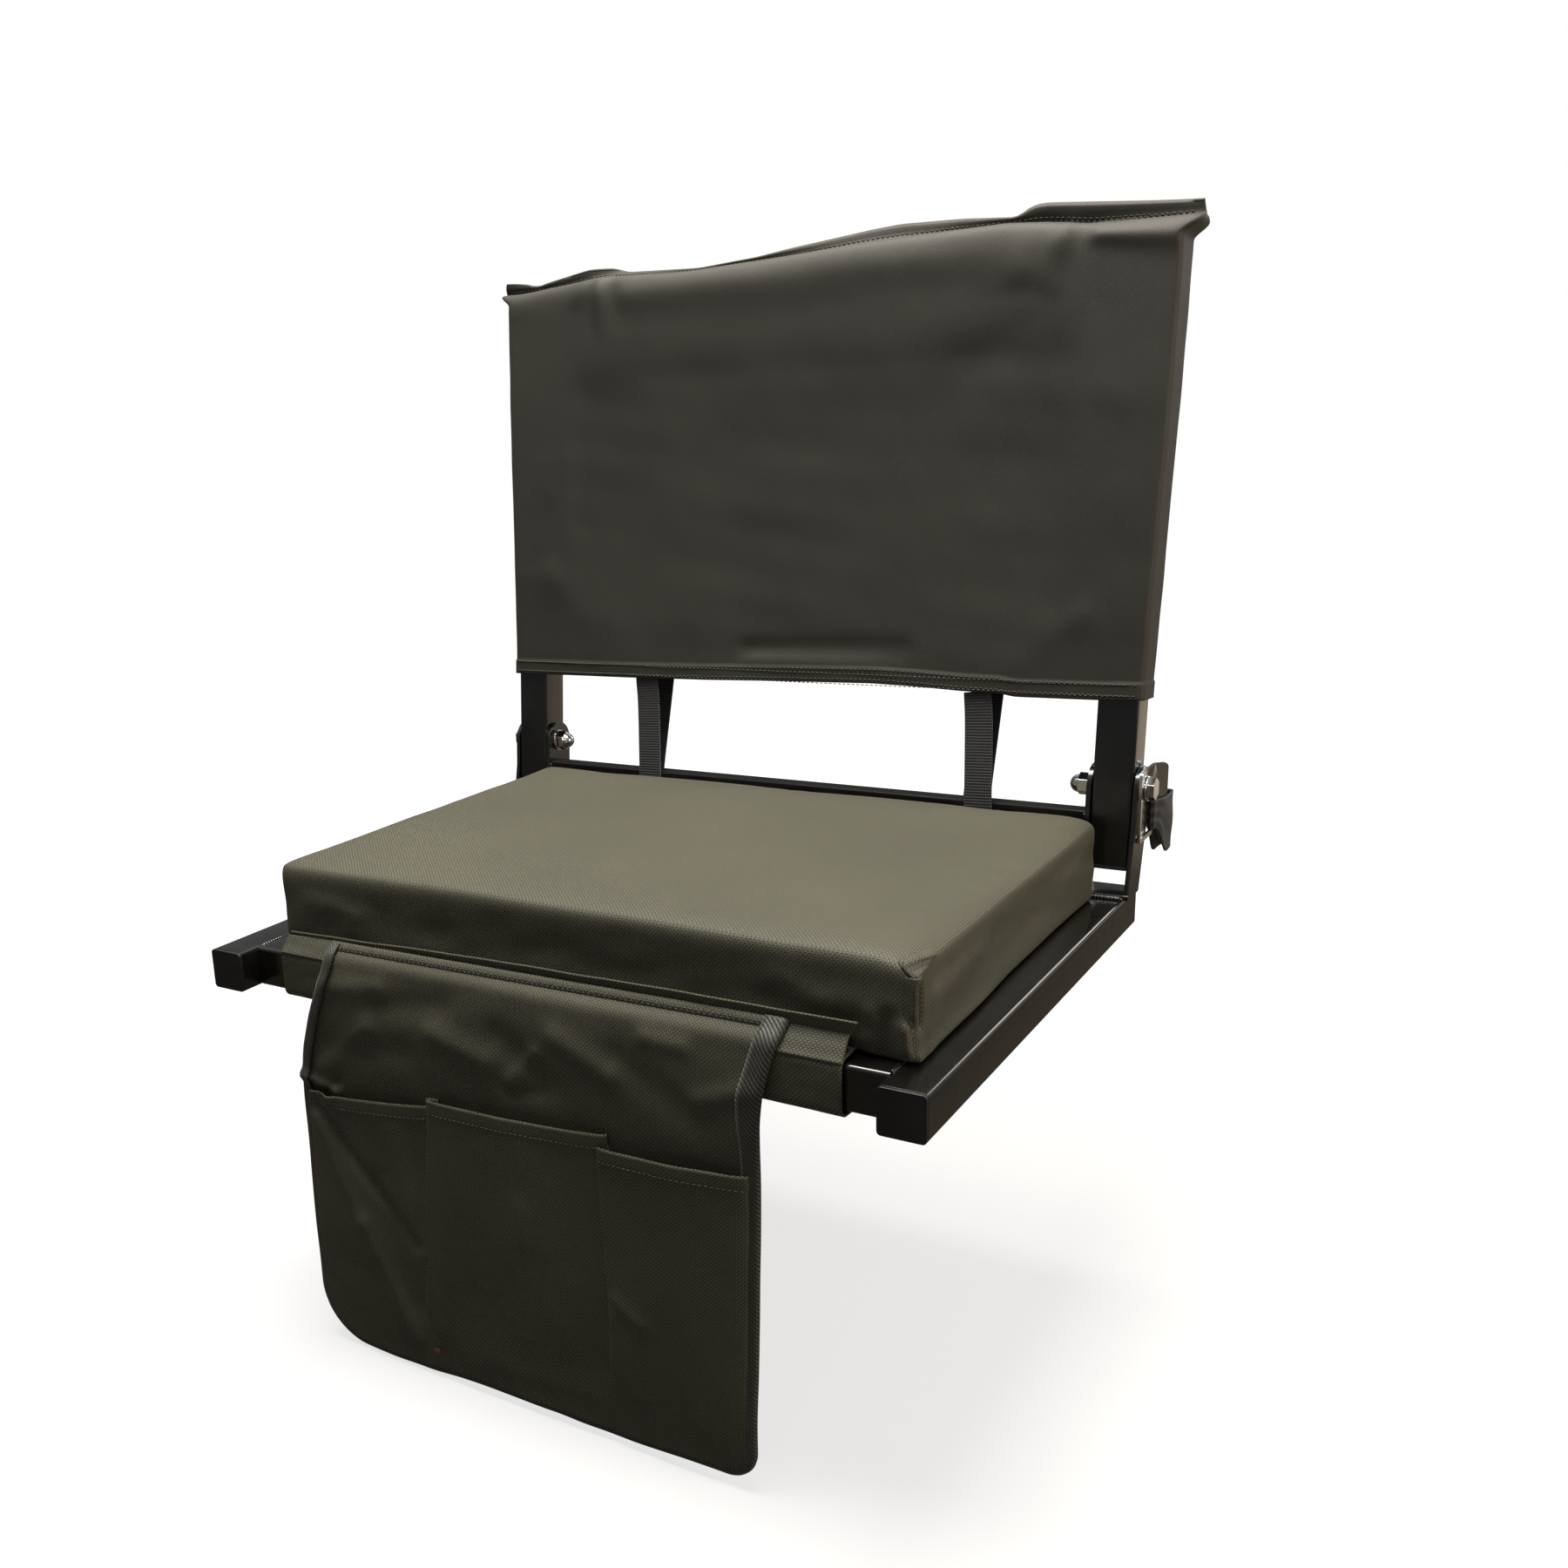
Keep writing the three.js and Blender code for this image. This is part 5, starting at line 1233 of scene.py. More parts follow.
# %% Flange
flange_x = np.linspace(FLANGE_TOP_LINE[0][0], FLANGE_TOP_LINE[-1][0], 190)[:, None]
flange_up = np.linspace(0, 1, 12)
flange_top = np.interp(flange_x, *zip(*FLANGE_TOP_LINE))
flange_z = flange_top - FLANGE_TALL * (1 - flange_up) + uneven(flange_x, 0 * flange_x, 60, 0.4, 66)
flange_wave = uneven(flange_x, 8 * flange_up, 44, 0.6, 65) * (0.4 + 0.6 * flange_up)
flange_y = FLANGE_Y - FLANGE_LEAN * flange_up + flange_wave
end_slant = FLANGE_END_SLANT * (flange_up - 1) * step(flange_x, flange_x[-1] - 30, flange_x[-1])
flange_points = stacked(flange_x + end_slant, flange_y, flange_z)
flange_cloth = stacked(flange_up * FLANGE_TALL, flange_x)
flange = grid_piece("cushion_seam_flange", flange_points, flange_cloth, SEAT_CLOTH)
thicken(flange, FLANGE_THICK, 0.0)
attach(flange, "seat_frame")


def sleeve_end_stitches(name, ring):
    """Stitches on one ring of a sleeve, over its front and its top."""
    middle = ring.mean(0)
    away = ring - middle
    away[:, 0] = 0
    away /= np.linalg.norm(away, axis=1, keepdims=True)
    shown = np.flatnonzero(ring[:, 1] < middle[1] + 2)
    order = shown[np.argsort(ring[shown, 2])]
    stitches(name, ring[order] + away[order] * 0.2, away[order], "seat_frame")


sleeve_end_stitches("front_sleeve_right_end_stitches", front_sleeve_points[-5])
sleeve_end_stitches("front_sleeve_left_end_stitches", front_sleeve_points[4])

# %% [markdown]
# ## The pocket panel
# The panel is one cloth. Its top is sewn under the flange, it rolls over the sleeve and then hangs. It is
# worked out flat first: x across, and v along the cloth, equal to the height where it hangs straight. One
# function then carries any flat place, with a distance in front of the cloth, to its place in space. The
# binding, the pockets and their stitches all use it, so they stay on the cloth wherever it bends.

# %% Pocket panel
panel_low, _ = box_mm("pocket_panel")
PANEL_THICK = 1.5
PANEL_FACE = panel_low[1]
PANEL_BOTTOM = panel_low[2]
FLAP_TOP = 15.5
FLAP_SLANT = 4.5
PANEL_LEFT_EDGE = [(-233, -180), (-190, -180), (-149, -179), (-61, -176.5), (-38, -174), (-4.6, -162.5),
                   (2.5, -158.5), (24, -149.5), (60, -148)]
PANEL_RIGHT_EDGE = [(-233, 137), (-187, 137.5), (-89, 142), (-44, 143.5), (-6.5, 144.5), (18, 149),
                    (40, 155), (60, 156)]
CORNER_LEFT = 34.0
CORNER_RIGHT = 18.0


def ramp_point(along, out):
    """A place (y, z) along the gusset's ramp and out from it."""
    return RAMP_FOOT + ramp_along * along + ramp_out * out


panel_stops = [ramp_point(FLAP_TOP, 1.7), ramp_point(9, 2.2), ramp_point(1.5, 3.1)]
panel_stops += [(PANEL_FACE - 0.6, 22), (PANEL_FACE - 2.4, 10), (PANEL_FACE - 3.0, -6)]
panel_stops += [(PANEL_FACE - 2.4, -26), (PANEL_FACE - 1.2, -50), (PANEL_FACE - 0.4, -90)]
panel_stops += [(PANEL_FACE, -150), (PANEL_FACE, PANEL_BOTTOM)]
panel_path = smooth_path(panel_stops, 400)[::-1]
panel_run = run_along(panel_path)
panel_v = PANEL_BOTTOM + panel_run
PANEL_TOP_V = float(panel_v[-1])
PANEL_FOLDS = [((-66, -4), (-29, -13), 8, 2.6), ((21, 10), (55, -4), 8, 2.4),
               ((78, 21), (100, 20), 6, 1.8), ((-112, 6), (-60, 14), 9, -2.0),
               ((-20, 4), (14, -20), 9, -2.4), ((60, 6), (110, -20), 10, -1.8),
               ((-150, -28), (-90, -20), 9, -1.6), ((-176, -50), (-150, -58), 3.4, 3.2),
               ((-166, -66), (-148, -50), 3.0, -1.5), ((110, -8), (140, 4), 6, 1.6),
               ((-120, -10), (-160, -44), 7, 2.0), ((-148, 12), (-108, 16), 7, 1.8),
               ((-12, -22), (6, -2), 5, 1.6), ((8, -26), (-14, -30), 5, -1.4)]


def panel_relief(x, v):
    """Folds and soft waves of the hanging cloth, fading towards the seam at the top."""
    total = sum(fold(x, v, *values) for values in PANEL_FOLDS)
    total = total + uneven(x, v, 110, 1.1, 71) + uneven(x, v, 38, 0.35, 75)
    return total * (1 - step(v, 22, 40))


def on_panel(x, v, out=0.0):
    """A flat place (x, v) in space, out millimetres in front of the cloth. The top slants to the left."""
    lower = FLAP_SLANT * np.clip((150 - x) / 300, 0, 1)
    v = v - lower * step(v, PANEL_TOP_V - 26, PANEL_TOP_V - 2)
    y = np.interp(v, panel_v, panel_path[:, 0])
    z = np.interp(v, panel_v, panel_path[:, 1]) + np.minimum(v - PANEL_BOTTOM, 0)
    ahead = np.clip(v + 2, PANEL_BOTTOM + 4, PANEL_TOP_V)
    behind = np.clip(v - 2, PANEL_BOTTOM, PANEL_TOP_V - 4)
    rise_y = np.interp(ahead, panel_v, panel_path[:, 0]) - np.interp(behind, panel_v, panel_path[:, 0])
    rise_z = np.interp(ahead, panel_v, panel_path[:, 1]) - np.interp(behind, panel_v, panel_path[:, 1])
    size = np.hypot(rise_y, rise_z)
    forward = out + panel_relief(x, v)
    y, z = y - forward * rise_z / size, z + forward * rise_y / size
    return stacked(x, y, z)


def edge_at(stops, v, corner_radius, inward):
    """The panel's side at v: a smooth line, drawn in as a quarter circle at the lower corner."""
    heights, places = zip(*stops)
    x = sum(np.interp(v + shift, heights, places) for shift in (-9, -5, 0, 5, 9)) / 5
    drop = np.clip(corner_radius - (v - PANEL_BOTTOM), 0, corner_radius)
    return x + inward * (corner_radius - np.sqrt(corner_radius**2 - drop**2))


def left_edge(v):
    """x of the panel's left side at v."""
    return edge_at(PANEL_LEFT_EDGE, v, CORNER_LEFT, 1)


def right_edge(v):
    """x of the panel's right side at v."""
    return edge_at(PANEL_RIGHT_EDGE, v, CORNER_RIGHT, -1)


def blend_panel(piece):
    """Bakes the piece's placement into its mesh; it does not bend the piece."""
    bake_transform(piece)


def sag_bottom(x, v):
    """The lower edge dips on the left and rises on the right, as it hangs in the photograph."""
    near_edge = step(PANEL_BOTTOM + 60 - v, 0, 60)
    return v - 3.0 * hill(x, -118, 70) * near_edge + 2.5 * hill(x, 118, 60) * near_edge


# %% Panel mesh
corner_rows = PANEL_BOTTOM + CORNER_LEFT * (1 - np.cos(np.linspace(0, math.pi / 2, 16)))
side_rows = np.linspace(PANEL_BOTTOM + CORNER_LEFT + 2, PANEL_TOP_V, 130)
rows_v = np.concatenate([corner_rows, side_rows])[:, None]
share = np.linspace(0, 1, 170)
panel_x = left_edge(rows_v) + (right_edge(rows_v) - left_edge(rows_v)) * share
panel_grid_v = sag_bottom(panel_x, rows_v + 0 * panel_x)
panel_points = on_panel(panel_x, panel_grid_v)
panel_cloth = np.stack([panel_x, panel_grid_v], -1)
panel = grid_piece("pocket_panel_cloth", panel_points, panel_cloth, SEAT_CLOTH)
thicken(panel, PANEL_THICK)
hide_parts("pocket_panel", "pocket_panel_flap")
blend_panel(panel)

# %% Panel top hem
HEM_TALL = 5.9
hem_v = np.linspace(PANEL_TOP_V + 0.4 - HEM_TALL, PANEL_TOP_V + 0.4, 10)[:, None]
hem_start, hem_end = left_edge(PANEL_TOP_V), right_edge(PANEL_TOP_V)
hem_x = np.linspace(0, 1, 170) * (hem_end - hem_start) + hem_start
hem_out = 0.3 + 1.1 * hill(hem_v, PANEL_TOP_V - 1.6, 4.6)
flap_hem_cloth = stacked(hem_x, hem_v)
flap_hem_points = on_panel(flap_hem_cloth[..., 0], flap_hem_cloth[..., 1], hem_out)
flap_hem = grid_piece("flap_hem", flap_hem_points, flap_hem_cloth, SEAT_CLOTH)
thicken(flap_hem, 0.9)
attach(flap_hem, "seat_frame")
flap_line = on_panel(hem_x, np.full(170, PANEL_TOP_V - 3.6), 1.6)
flap_up = np.broadcast_to((0, *ramp_out), flap_line.shape)
stitches("flap_hem_stitches", flap_line, flap_up, "seat_frame")

# %% [markdown]
# ## The edge binding
# A twill tape is folded over the panel's raw edge and sewn through. Its line runs down the left side,
# round both lower corners and up the right side, as a flat path. The tape's section is a U: in from the
# edge in front of the cloth, round the edge, and in again behind it.

# %% Edge binding
TAPE_THICK = 0.9
TAPE_WIDE = 9.0


def edge_path(count):
    """The panel's outline as flat places (x, v), from the upper left corner round to the upper right."""
    sides_v = np.linspace(PANEL_TOP_V, PANEL_BOTTOM + CORNER_LEFT + 2, 60)
    corner_v = PANEL_BOTTOM + CORNER_LEFT * (1 - np.sin(np.linspace(0, math.pi / 2, 20)))
    down = np.concatenate([sides_v, corner_v])
    left = np.stack([left_edge(down), down], -1)
    right = np.stack([right_edge(down), down], -1)[::-1]
    path = np.vstack([left, right])
    length = run_along(path)
    even = np.linspace(0, length[-1], count)
    return place_at(even, length, path), even


# %% Binding mesh
binding_path, binding_run = edge_path(420)
forward_step = np.gradient(binding_path, axis=0)
forward_step /= np.linalg.norm(forward_step, axis=1, keepdims=True)
inward = np.stack([-forward_step[:, 1], forward_step[:, 0]], -1)
on_right = step(binding_path[:, 0], 60, 140) * step(binding_path[:, 1], -60, 10)
# The tape is folded unevenly: it reaches in less on the left than on the right
tape_width = 6.0 + 3.2 * on_right + 1.6 * step(binding_path[:, 0], 60, 130)
section_in = np.array([1.0, 0.75, 0.5, 0.25, 0.06, -0.06, -0.1, -0.06, 0.06, 0.25, 0.6, 1.0])
section_out = np.array([1.5, 1.7, 1.7, 1.7, 1.6, 1.1, 0.0, -1.2, -2.0, -2.3, -2.3, -2.1])
ripple_in = 1 + 0.05 * np.sin(binding_run / 9.0)
tape_in = (tape_width * ripple_in)[:, None] * section_in
tape_x = binding_path[:, :1] + inward[:, :1] * tape_in
tape_v = binding_path[:, 1:] + inward[:, 1:] * tape_in
tape_v = sag_bottom(tape_x, tape_v)
tape_points = on_panel(tape_x, tape_v, np.broadcast_to(section_out, tape_x.shape))
section_run = run_along(np.stack([section_in * TAPE_WIDE, section_out], -1))
tape_cloth = np.stack(np.meshgrid(section_run, binding_run), -1)
binding = grid_piece("panel_edge_tape", tape_points, tape_cloth, EDGE_TAPE, flip=True)
thicken(binding, TAPE_THICK)
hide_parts("panel_binding")
blend_panel(binding)

line_in = inward * (tape_width * 0.82)[:, None]
line_x, line_v = (binding_path + line_in).T
line_v = sag_bottom(line_x, line_v)
binding_line = on_panel(line_x, line_v, 1.85)
binding_up = on_panel(line_x, line_v, 2.85) - binding_line
blend_panel(stitches("binding_inner_stitches", binding_line, binding_up, None, pitch_mm=3.0))
print("binding", round(float(binding_run[-1])), "mm long")

# %% [markdown]
# ## The pockets
# Three patch pockets are sewn over the lower panel. Each is its own cloth between two seams, with a
# turned hem at its mouth. Where two pockets meet, the next one is folded in a pleat that overhangs its
# neighbour, so that a hand can open it. Each is a grid across the pocket and up it, with its depth as
# the distance in front of the panel.

# %% Pockets
POCKET_THICK = 1.2
POCKET_HEM = 9.0
POCKET_DEEP = 5.6
POCKET_TRIM = 3.0
POCKET_LIFT = 1.9
PLEAT_LIFT = 2.6
PLEAT_LEFT = [(-233, -80), (-217, -83), (-189, -89.5), (-158, -89), (-97, -81), (-46, -73)]
PLEAT_RIGHT = [(-233, 45), (-215, 46.2), (-146, 48.5), (-92, 46.5), (-46, 46)]
MIDDLE_MOUTH = [(-90, -45.5), (-73, -44.5), (-10, -42.5), (54, -39.5)]
# Each pocket as the line of its mouth, its pleat if it has one, its far seam and a seed
POCKETS = {
    "left": ([(-176, -60), (-148, -58), (-72, -49.5)], None, -70.0, 81),
    "middle": (MIDDLE_MOUTH, PLEAT_LEFT, 53.0, 84),
    "right": ([(40, -46.5), (52, -47), (134, -43)], PLEAT_RIGHT, None, 87),
}
POCKET_FOLDS = {
    "left": [((-162, -70), (-92, -146), 5.0, -2.6), ((-166, -78), (-132, -140), 7.0, 1.8),
             ((-132, -140), (-99, -214), 6.0, 1.8), ((-120, -108), (-96, -190), 9.0, -2.0),
             ((-104, -70), (-86, -150), 8, 1.2)],
    "middle": [((-8, -98), (-6, -120), 6, 0.8), ((-60, -60), (-76, -200), 9, 0.9),
               ((20, -60), (36, -190), 12, -0.8), ((-40, -215), (30, -210), 10, 0.7)],
    "right": [((56, -140), (70, -150), 5, 1.4), ((54, -150), (66, -200), 5, 0.9),
              ((90, -60), (110, -200), 16, 0.8)],
}


def pocket_piece(name):
    """Across: seam, pleat turned over, front, far seam. Up: from the panel's foot to the mouth. The
    front stands out as the root of a half ellipse, more at the mouth than at the foot."""
    mouth, pleat, last, seed = POCKETS[name]
    mouth_x, mouth_v = zip(*mouth)
    low_rows = np.linspace(0, 0.2, 18)[:-1] ** 1.4 * 0.2**-0.4
    rise = np.concatenate([low_rows, np.linspace(0.2, 1, 90)])[:, None]
    foot = PANEL_BOTTOM + POCKET_TRIM
    rough_v = foot + rise * (np.mean(mouth_v) - foot)
    start = left_edge(rough_v) + POCKET_TRIM
    if pleat:
        start = np.interp(rough_v, *zip(*pleat))
    end = last or right_edge(rough_v) - POCKET_TRIM
    across = np.linspace(0, 1, 80)
    x = start + (end - start) * across
    top = sum(np.interp(x + shift, mouth_x, mouth_v) for shift in (-5, 0, 5)) / 3
    v = sag_bottom(x, foot + rise * (top - foot))
    arch = np.sqrt(np.clip(1 - (2 * across - 1) ** 2, 0, 1)) ** 0.9
    open_up = 0.35 + 0.65 * step(rise, 0.0, 0.5)
    edge_out = PLEAT_LIFT * step(rise, 0.02, 0.3) if pleat else 0
    left_share = np.clip(1 - across * 2.4, 0, 1) ** 2
    out = POCKET_LIFT + POCKET_DEEP * arch * open_up + edge_out * left_share
    out = out + sum(fold(x, v, *values) for values in POCKET_FOLDS[name]) * step(rise, 0, 0.12)
    out = out + uneven(x, v, 60, 0.6, seed) * arch
    below_mouth = top - v
    out = np.maximum(out, 1.6) + 0.55 * step(POCKET_HEM - below_mouth, 0, 0.8)
    if pleat:
        under = np.array([7.0, 5.0, 2.5, 0.6, -0.3, -0.5, -0.3])
        lift = np.array([0.15, 0.2, 0.3, 0.45, 0.62, 0.8, 0.94])
        pleat_open = 0.3 + 0.7 * step(rise, 0, 0.25)
        x = np.hstack([start + under * pleat_open, x])
        v = np.hstack([np.repeat(v[:, :1], 7, axis=1), v])
        out = np.hstack([0.8 + (out[:, :1] - 0.8) * lift, out])
    points = on_panel(x, v, out)
    run = run_along(points[60])
    cloth = stacked(run + x[60, 0], v)
    piece = grid_piece(f"{name}_pocket_cloth", points, cloth, SEAT_CLOTH)
    thicken(piece, POCKET_THICK)
    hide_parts(f"{name}_pocket")
    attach(piece, "pocket_panel_body")
    row = int(np.argmin(np.abs(below_mouth[:, 40] - (POCKET_HEM - 1.4))))
    outward = normals_of(points)
    columns = slice(8 if pleat else 1, None)
    line = points[row, columns] + outward[row, columns] * 0.15
    stitches(f"{name}_pocket_hem_stitches", line, outward[row, columns], "pocket_panel_body")
    print(piece.name, points.shape[:2])


for name in POCKETS:
    pocket_piece(name)

# %% Bartack
BARTACK_PLACE = (-82.0, -218.0)
BARTACK_HALF = (2.2, 1.2)
bartack_x = np.linspace(BARTACK_PLACE[0] - BARTACK_HALF[0], BARTACK_PLACE[0] + BARTACK_HALF[0], 9)
zigzag = np.where(np.arange(9) % 2 == 0, -1, 1) * BARTACK_HALF[1] + BARTACK_PLACE[1]
bartack_line = on_panel(bartack_x, zigzag, 5.2)
bartack_up = on_panel(bartack_x, zigzag, 6.2) - bartack_line
stitches("pleat_bartack", bartack_line, bartack_up, "pocket_panel_body", BARTACK_THREAD, 1.6)

# %% [markdown]
# ## The strap loop
# On the right pivot a plated hanger carries a short loop of wide webbing. The webbing is gathered where
# it passes the narrow window and spreads to its full width as it leaves. Its inner run keeps clear of the
# upright, which turns beside it. So it is a grid of its own along the CAD route.

# %% Strap loop
_, loop_high = box_mm("strap_loop")
plate_low, _ = box_mm("right_strap_plate")
LOOP_THICK = 1.2
PLATE_SHEET = 1.8
# The width and the depth below the pivot, where it is gathered and where it is free
LOOP_WIDE = (19.0, 38.0)
LOOP_DROP = (21.2, 33.0)
LOOP_RIPPLE = 0.35
LOOP_CLEARANCE = 1.35
WINDOW_BEHIND_PIVOT = 17.5
loop_inside = plate_low[0] - 0.5 - LOOP_THICK / 2
loop_outside = plate_low[0] + PLATE_SHEET + 0.5 + LOOP_THICK / 2
loop_clear = loop_inside - LOOP_CLEARANCE
loop_back = loop_high[1]
slot_rear = PIVOT_Y + WINDOW_BEHIND_PIVOT
loop_stops = [
    (loop_inside, slot_rear + 15),
    (loop_inside, slot_rear + 3),
    (loop_inside, slot_rear),
    ((loop_inside + loop_outside) / 2, slot_rear - 1.1),
    (loop_outside, slot_rear),
    (loop_outside, slot_rear + 3),
    (loop_outside + 1.5, slot_rear + 15),
    (loop_outside + 1.5, loop_back - 5),
    (loop_outside - 3, loop_back - 0.7),
    (loop_outside - 5.5, loop_back - 5),
    (loop_outside - 5.5, slot_rear + 27),
    (loop_clear, slot_rear + 15),
    (loop_clear, slot_rear + 4.2),
]
loop_path = smooth_path(loop_stops, 150)
loop_along = np.gradient(loop_path, axis=0)
loop_along /= np.linalg.norm(loop_along, axis=1, keepdims=True)
loop_side = np.stack([loop_along[:, 1], -loop_along[:, 0]], -1)
loop_share = np.linspace(-1, 1, 26)
spread = step(loop_path[:, 1], slot_rear + 3, slot_rear + 27)[:, None]
loop_half = (LOOP_WIDE[0] + (LOOP_WIDE[1] - LOOP_WIDE[0]) * spread) / 2
loop_middle = PIVOT_Z - (LOOP_DROP[0] + (LOOP_DROP[1] - LOOP_DROP[0]) * spread)
free_wave = np.sin(loop_share * 4 + loop_path[:, 1:] / 9)
gather = LOOP_RIPPLE * ((1 - spread) * np.sin(loop_share * 9) + spread * free_wave)
loop_x = loop_path[:, :1] + loop_side[:, :1] * gather
loop_y = loop_path[:, 1:] + loop_side[:, 1:] * gather
loop_points = np.stack([loop_x, loop_y, loop_middle + loop_half * loop_share], -1)
loop_run = run_along(loop_path)
loop_cloth = stacked(LOOP_WIDE[1] / 2 * loop_share, loop_run[:, None])
# The loop's webbing is darkened as painted shade
loop = grid_piece("strap_loop_webbing", loop_points, loop_cloth, LOOP_WEBBING_PAINTED_SHADE)
thicken(loop, LOOP_THICK, 0.0)
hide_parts("strap_loop")
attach(loop, "strap_hanger")
print("strap loop", round(float(loop_run[-1])), "mm long")

# %% [markdown]
# ## Weld beads
# The tubes are welded, and a weld leaves a low bead with ripples across it. Each bead is a thin round bar
# laid in the corner between two pieces, whose radius swells with every ripple and shrinks at both ends.

# %% Weld beads
RIPPLE_PITCH = 2.1


def weld_bead(name, start, end, radius_mm, seed):
    """Rings along the line: radius times a ripple, times a taper at the ends, wandering a little."""
    start, end = np.array(start, float), np.array(end, float)
    length = float(np.linalg.norm(end - start))
    t = np.linspace(0, 1, max(12, int(length / 0.5)))
    wander = uneven(t * length, 0 * t, 6, 0.25, seed)
    taper = np.sqrt(np.clip(1 - np.abs(2 * t - 1) ** 12, 0, 1))
    radius = radius_mm * (1 + 0.13 * np.sin(2 * math.pi * t * length / RIPPLE_PITCH)) * taper
    along = (end - start) / length
    side = np.cross(along, (0.3, 0.5, 0.8))
    side /= np.linalg.norm(side)
    up = np.cross(along, side)
    angles = np.linspace(0, 2 * math.pi, 12, endpoint=False)
    spokes = side * np.cos(angles)[:, None] + up * np.sin(angles)[:, None]
    centres = start + along * (t * length)[:, None] + side * wander[:, None]
    points = centres[:, None] + spokes * (radius + 0.02)[:, None, None]
    cloth = np.zeros((len(t), 13, 2))
    piece = grid_piece(name, points, cloth, ENAMEL, ring=True)
    close_ends(piece)
    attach(piece, "seat_frame")


# %% Beads in their places
WEB_ENDS = (326.0, 351.0)
inner_x = FRAME_HALF - 2 * TUBE_HALF
beads = []
for side, sign in (("left", -1), ("right", 1)):
    for tube_name, tube in (("front", front_tube), ("rear", rear_tube)):
        for place, z in (("upper", tube[1][2] - 0.6), ("lower", tube[0][2] + 0.6)):
            ends = [(sign * inner_x, tube[0][1] + 3, z), (sign * inner_x, tube[1][1] - 3, z)]
            beads.append((f"{side}_{tube_name}_{place}_weld", *ends, 1.5))
    bracket_low, bracket_high = box_mm(f"{side}_hinge_bracket")
    for place, y in zip(("front", "rear"), WEB_ENDS):
        z = bracket_low[2] + 0.5
        ends = [(bracket_low[0] + 3, y, z), (bracket_high[0] - 3, y, z)]
        beads.append((f"{side}_bracket_{place}_weld", *ends, 1.9))
    bar_x = sign * (bar_high[0] - 0.4)
    for place, y in (("front", bar_low[1]), ("rear", bar_high[1])):
        ends = [(bar_x, y, bar_low[2] + 1.5), (bar_x, y, bar_high[2] - 1.5)]
        beads.append((f"{side}_bar_{place}_weld", *ends, 1.0))
for index, (name, start, end, radius_mm) in enumerate(beads):
    weld_bead(name, start, end, radius_mm, 100 + index)
print(len(beads), "weld beads")

# %% [markdown]
# ## Studio
# The seat stands in a plain white studio. The floor is a white sheet under the hanging panel, and it
# keeps a soft shadow. The enamel in the photograph reflects a tan floor, so shiny surfaces see the sheet
# in that colour where it lies behind the seat and to its right. A large soft light hangs overhead, which
# makes the tops bright and leaves the fronts dark. A weaker, warmer one stands to the right, and two faint
# ones behind and in front lift the darkest cloth.

# %% Floor
FLOOR_GAP = 0.004
FLOOR_REACH = 6.0
SHADOW_REACH = (0.75, 1.3)
TAN_FLOOR_FROM = (1.25, 1.75)
floor_z = cad_low.z - FLOOR_GAP
floor_mesh = bpy.data.meshes.new("floor")
square = ((-1, -1), (1, -1), (1, 1), (-1, 1))
floor_corners = [(x * FLOOR_REACH, y * FLOOR_REACH, floor_z) for x, y in square]
floor_mesh.from_pydata(floor_corners, [], [(0, 1, 2, 3)])
floor = link_piece("floor", floor_mesh)
floor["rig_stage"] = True
floor_material, floor_tree, floor_shader = new_material("white paper floor")
set_inputs(floor_tree, floor_shader, {"Base Color": linear("#686763"), "Roughness": 0.9})
seen = add_node(floor_tree, "LightPath")
floor_place = add_node(floor_tree, "TexCoord")
far = add_node(floor_tree, "VectorMath", {0: floor_place.outputs["Object"]}, operation="LENGTH")
fade = {"From Min": SHADOW_REACH[0], "From Max": SHADOW_REACH[1], "To Min": 0.72, "To Max": 1.0}
fade_out = add_node(floor_tree, "MapRange", {"Value": far.outputs["Value"], **fade})
shadow_part = add_node(floor_tree, "BsdfDiffuse", {"Color": linear("#8f8f8f")})
paper_glow = add_node(floor_tree, "Emission", {"Color": (1, 1, 1, 1), "Strength": fade_out})
paper = add_node(floor_tree, "AddShader", {0: shadow_part, 1: paper_glow})
floor_axes = add_node(floor_tree, "SeparateXYZ", {0: floor_place.outputs["Object"]})
# Only the floor behind and to the right is tan: value is the lesser of Y and 3 X + 0.5 m
tan_side = add_node(
    floor_tree, "Math", {0: floor_axes.outputs["X"], 1: 3.0, 2: 0.5}, operation="MULTIPLY_ADD"
)
tan_place = add_node(floor_tree, "Math", {0: floor_axes.outputs["Y"], 1: tan_side}, operation="MINIMUM")
tan = {"From Min": TAN_FLOOR_FROM[0], "From Max": TAN_FLOOR_FROM[1], "To Min": 0.14, "To Max": 0.85}
tan_strength = add_node(floor_tree, "MapRange", {"Value": tan_place, **tan})
tan_floor = add_node(floor_tree, "Emission", {"Color": linear("#d9c8b2"), "Strength": tan_strength})
by_light = add_node(
    floor_tree, "MixShader", {0: seen.outputs["Is Glossy Ray"], 1: floor_shader, 2: tan_floor}
)
by_camera = add_node(floor_tree, "MixShader", {0: seen.outputs["Is Camera Ray"], 1: by_light, 2: paper})
floor_out = next(node for node in floor_tree.nodes if node.type == "OUTPUT_MATERIAL")
set_inputs(floor_tree, floor_out, {"Surface": by_camera})
floor_mesh.materials.append(floor_material)

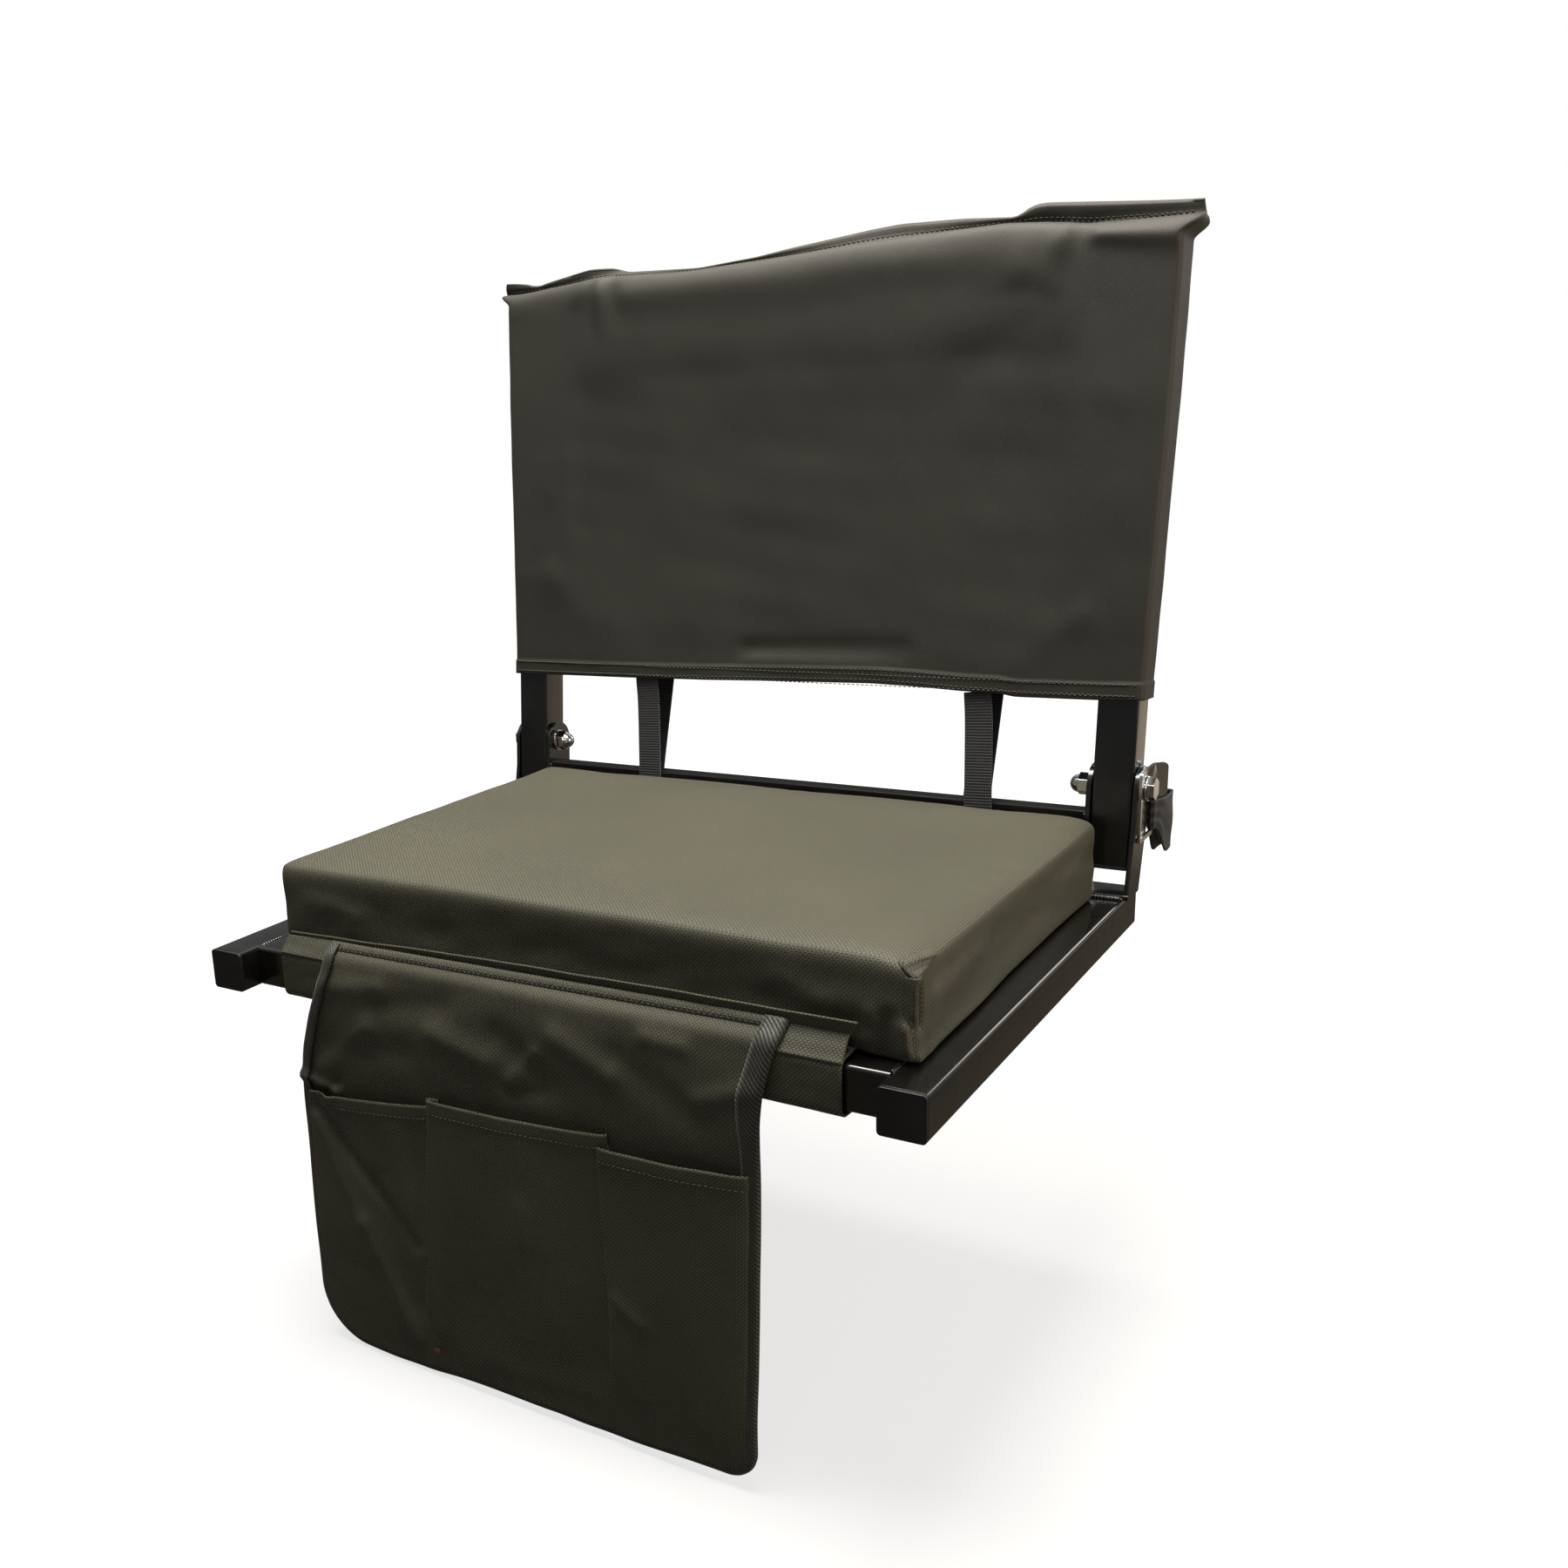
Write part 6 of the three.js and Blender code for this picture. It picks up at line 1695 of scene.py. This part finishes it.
# %% Room
world = bpy.data.worlds.new("studio")
world.use_nodes = True
bpy.context.scene.world = world
world_tree = world.node_tree
world_tree.nodes.clear()
world_seen = add_node(world_tree, "LightPath")
soft_room = add_node(world_tree, "Background", {"Color": linear("#e6ebf2"), "Strength": 0.06})
world_place = add_node(world_tree, "TexCoord")
world_axes = add_node(world_tree, "SeparateXYZ", {0: world_place.outputs["Generated"]})
# What shiny surfaces see grows brighter from low to high
upward = {"From Min": 0.42, "From Max": 0.8, "To Min": 0.18, "To Max": 0.9}
room_strength = add_node(world_tree, "MapRange", {"Value": world_axes.outputs["Z"], **upward})
shiny_room = add_node(world_tree, "Background", {"Color": linear("#eef0f4"), "Strength": room_strength})
white_room = add_node(world_tree, "Background", {"Color": (1, 1, 1, 1), "Strength": 1.0})
room = add_node(
    world_tree, "MixShader", {0: world_seen.outputs["Is Glossy Ray"], 1: soft_room, 2: shiny_room}
)
room_seen = add_node(
    world_tree, "MixShader", {0: world_seen.outputs["Is Camera Ray"], 1: room, 2: white_room}
)
add_node(world_tree, "OutputWorld", {"Surface": room_seen})
print("floor at", round(floor_z, 3), "m and a room")


# %% Lights
def soft_light(name, place, target, size, power, colour_hex):
    """A square area light at place. Its +Z points away from target, so it shines at it."""
    data = bpy.data.lights.new(name, "AREA")
    data.size = size
    data.energy = power
    data.color = linear(colour_hex)[:3]
    light = bpy.data.objects.new(name, data)
    away = Vector(place) - Vector(target)
    light.matrix_world = Matrix.Translation(place) @ away.to_track_quat("Z", "Y").to_matrix().to_4x4()
    bpy.context.scene.collection.objects.link(light)


soft_light("overhead softbox", (-0.1, 0.16, 1.6), (-0.05, 0.17, 0.08), 1.0, 58, "#fffaf0")
soft_light("right softbox", (1.8, 0.25, 0.6), (0, 0.2, 0.1), 0.9, 18, "#fff0dc")
soft_light("rear softbox", (1.0, 2.5, 0.95), (0.1, 0.2, 0.05), 0.8, 6, "#ffffff")
soft_light("front softbox", (0.5, -2.2, 1.3), (0, 0.1, 0.1), 1.2, 4, "#f6f6ff")
bpy.context.scene.view_settings.view_transform = "Standard"
print(len(bpy.data.lights), "lights")

# %% [markdown]
# ## Sizes
# The box round every piece that is shown is measured and printed.

# %% Sizes
low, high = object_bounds()
print("visual box from", tuple(low), "to", tuple(high))
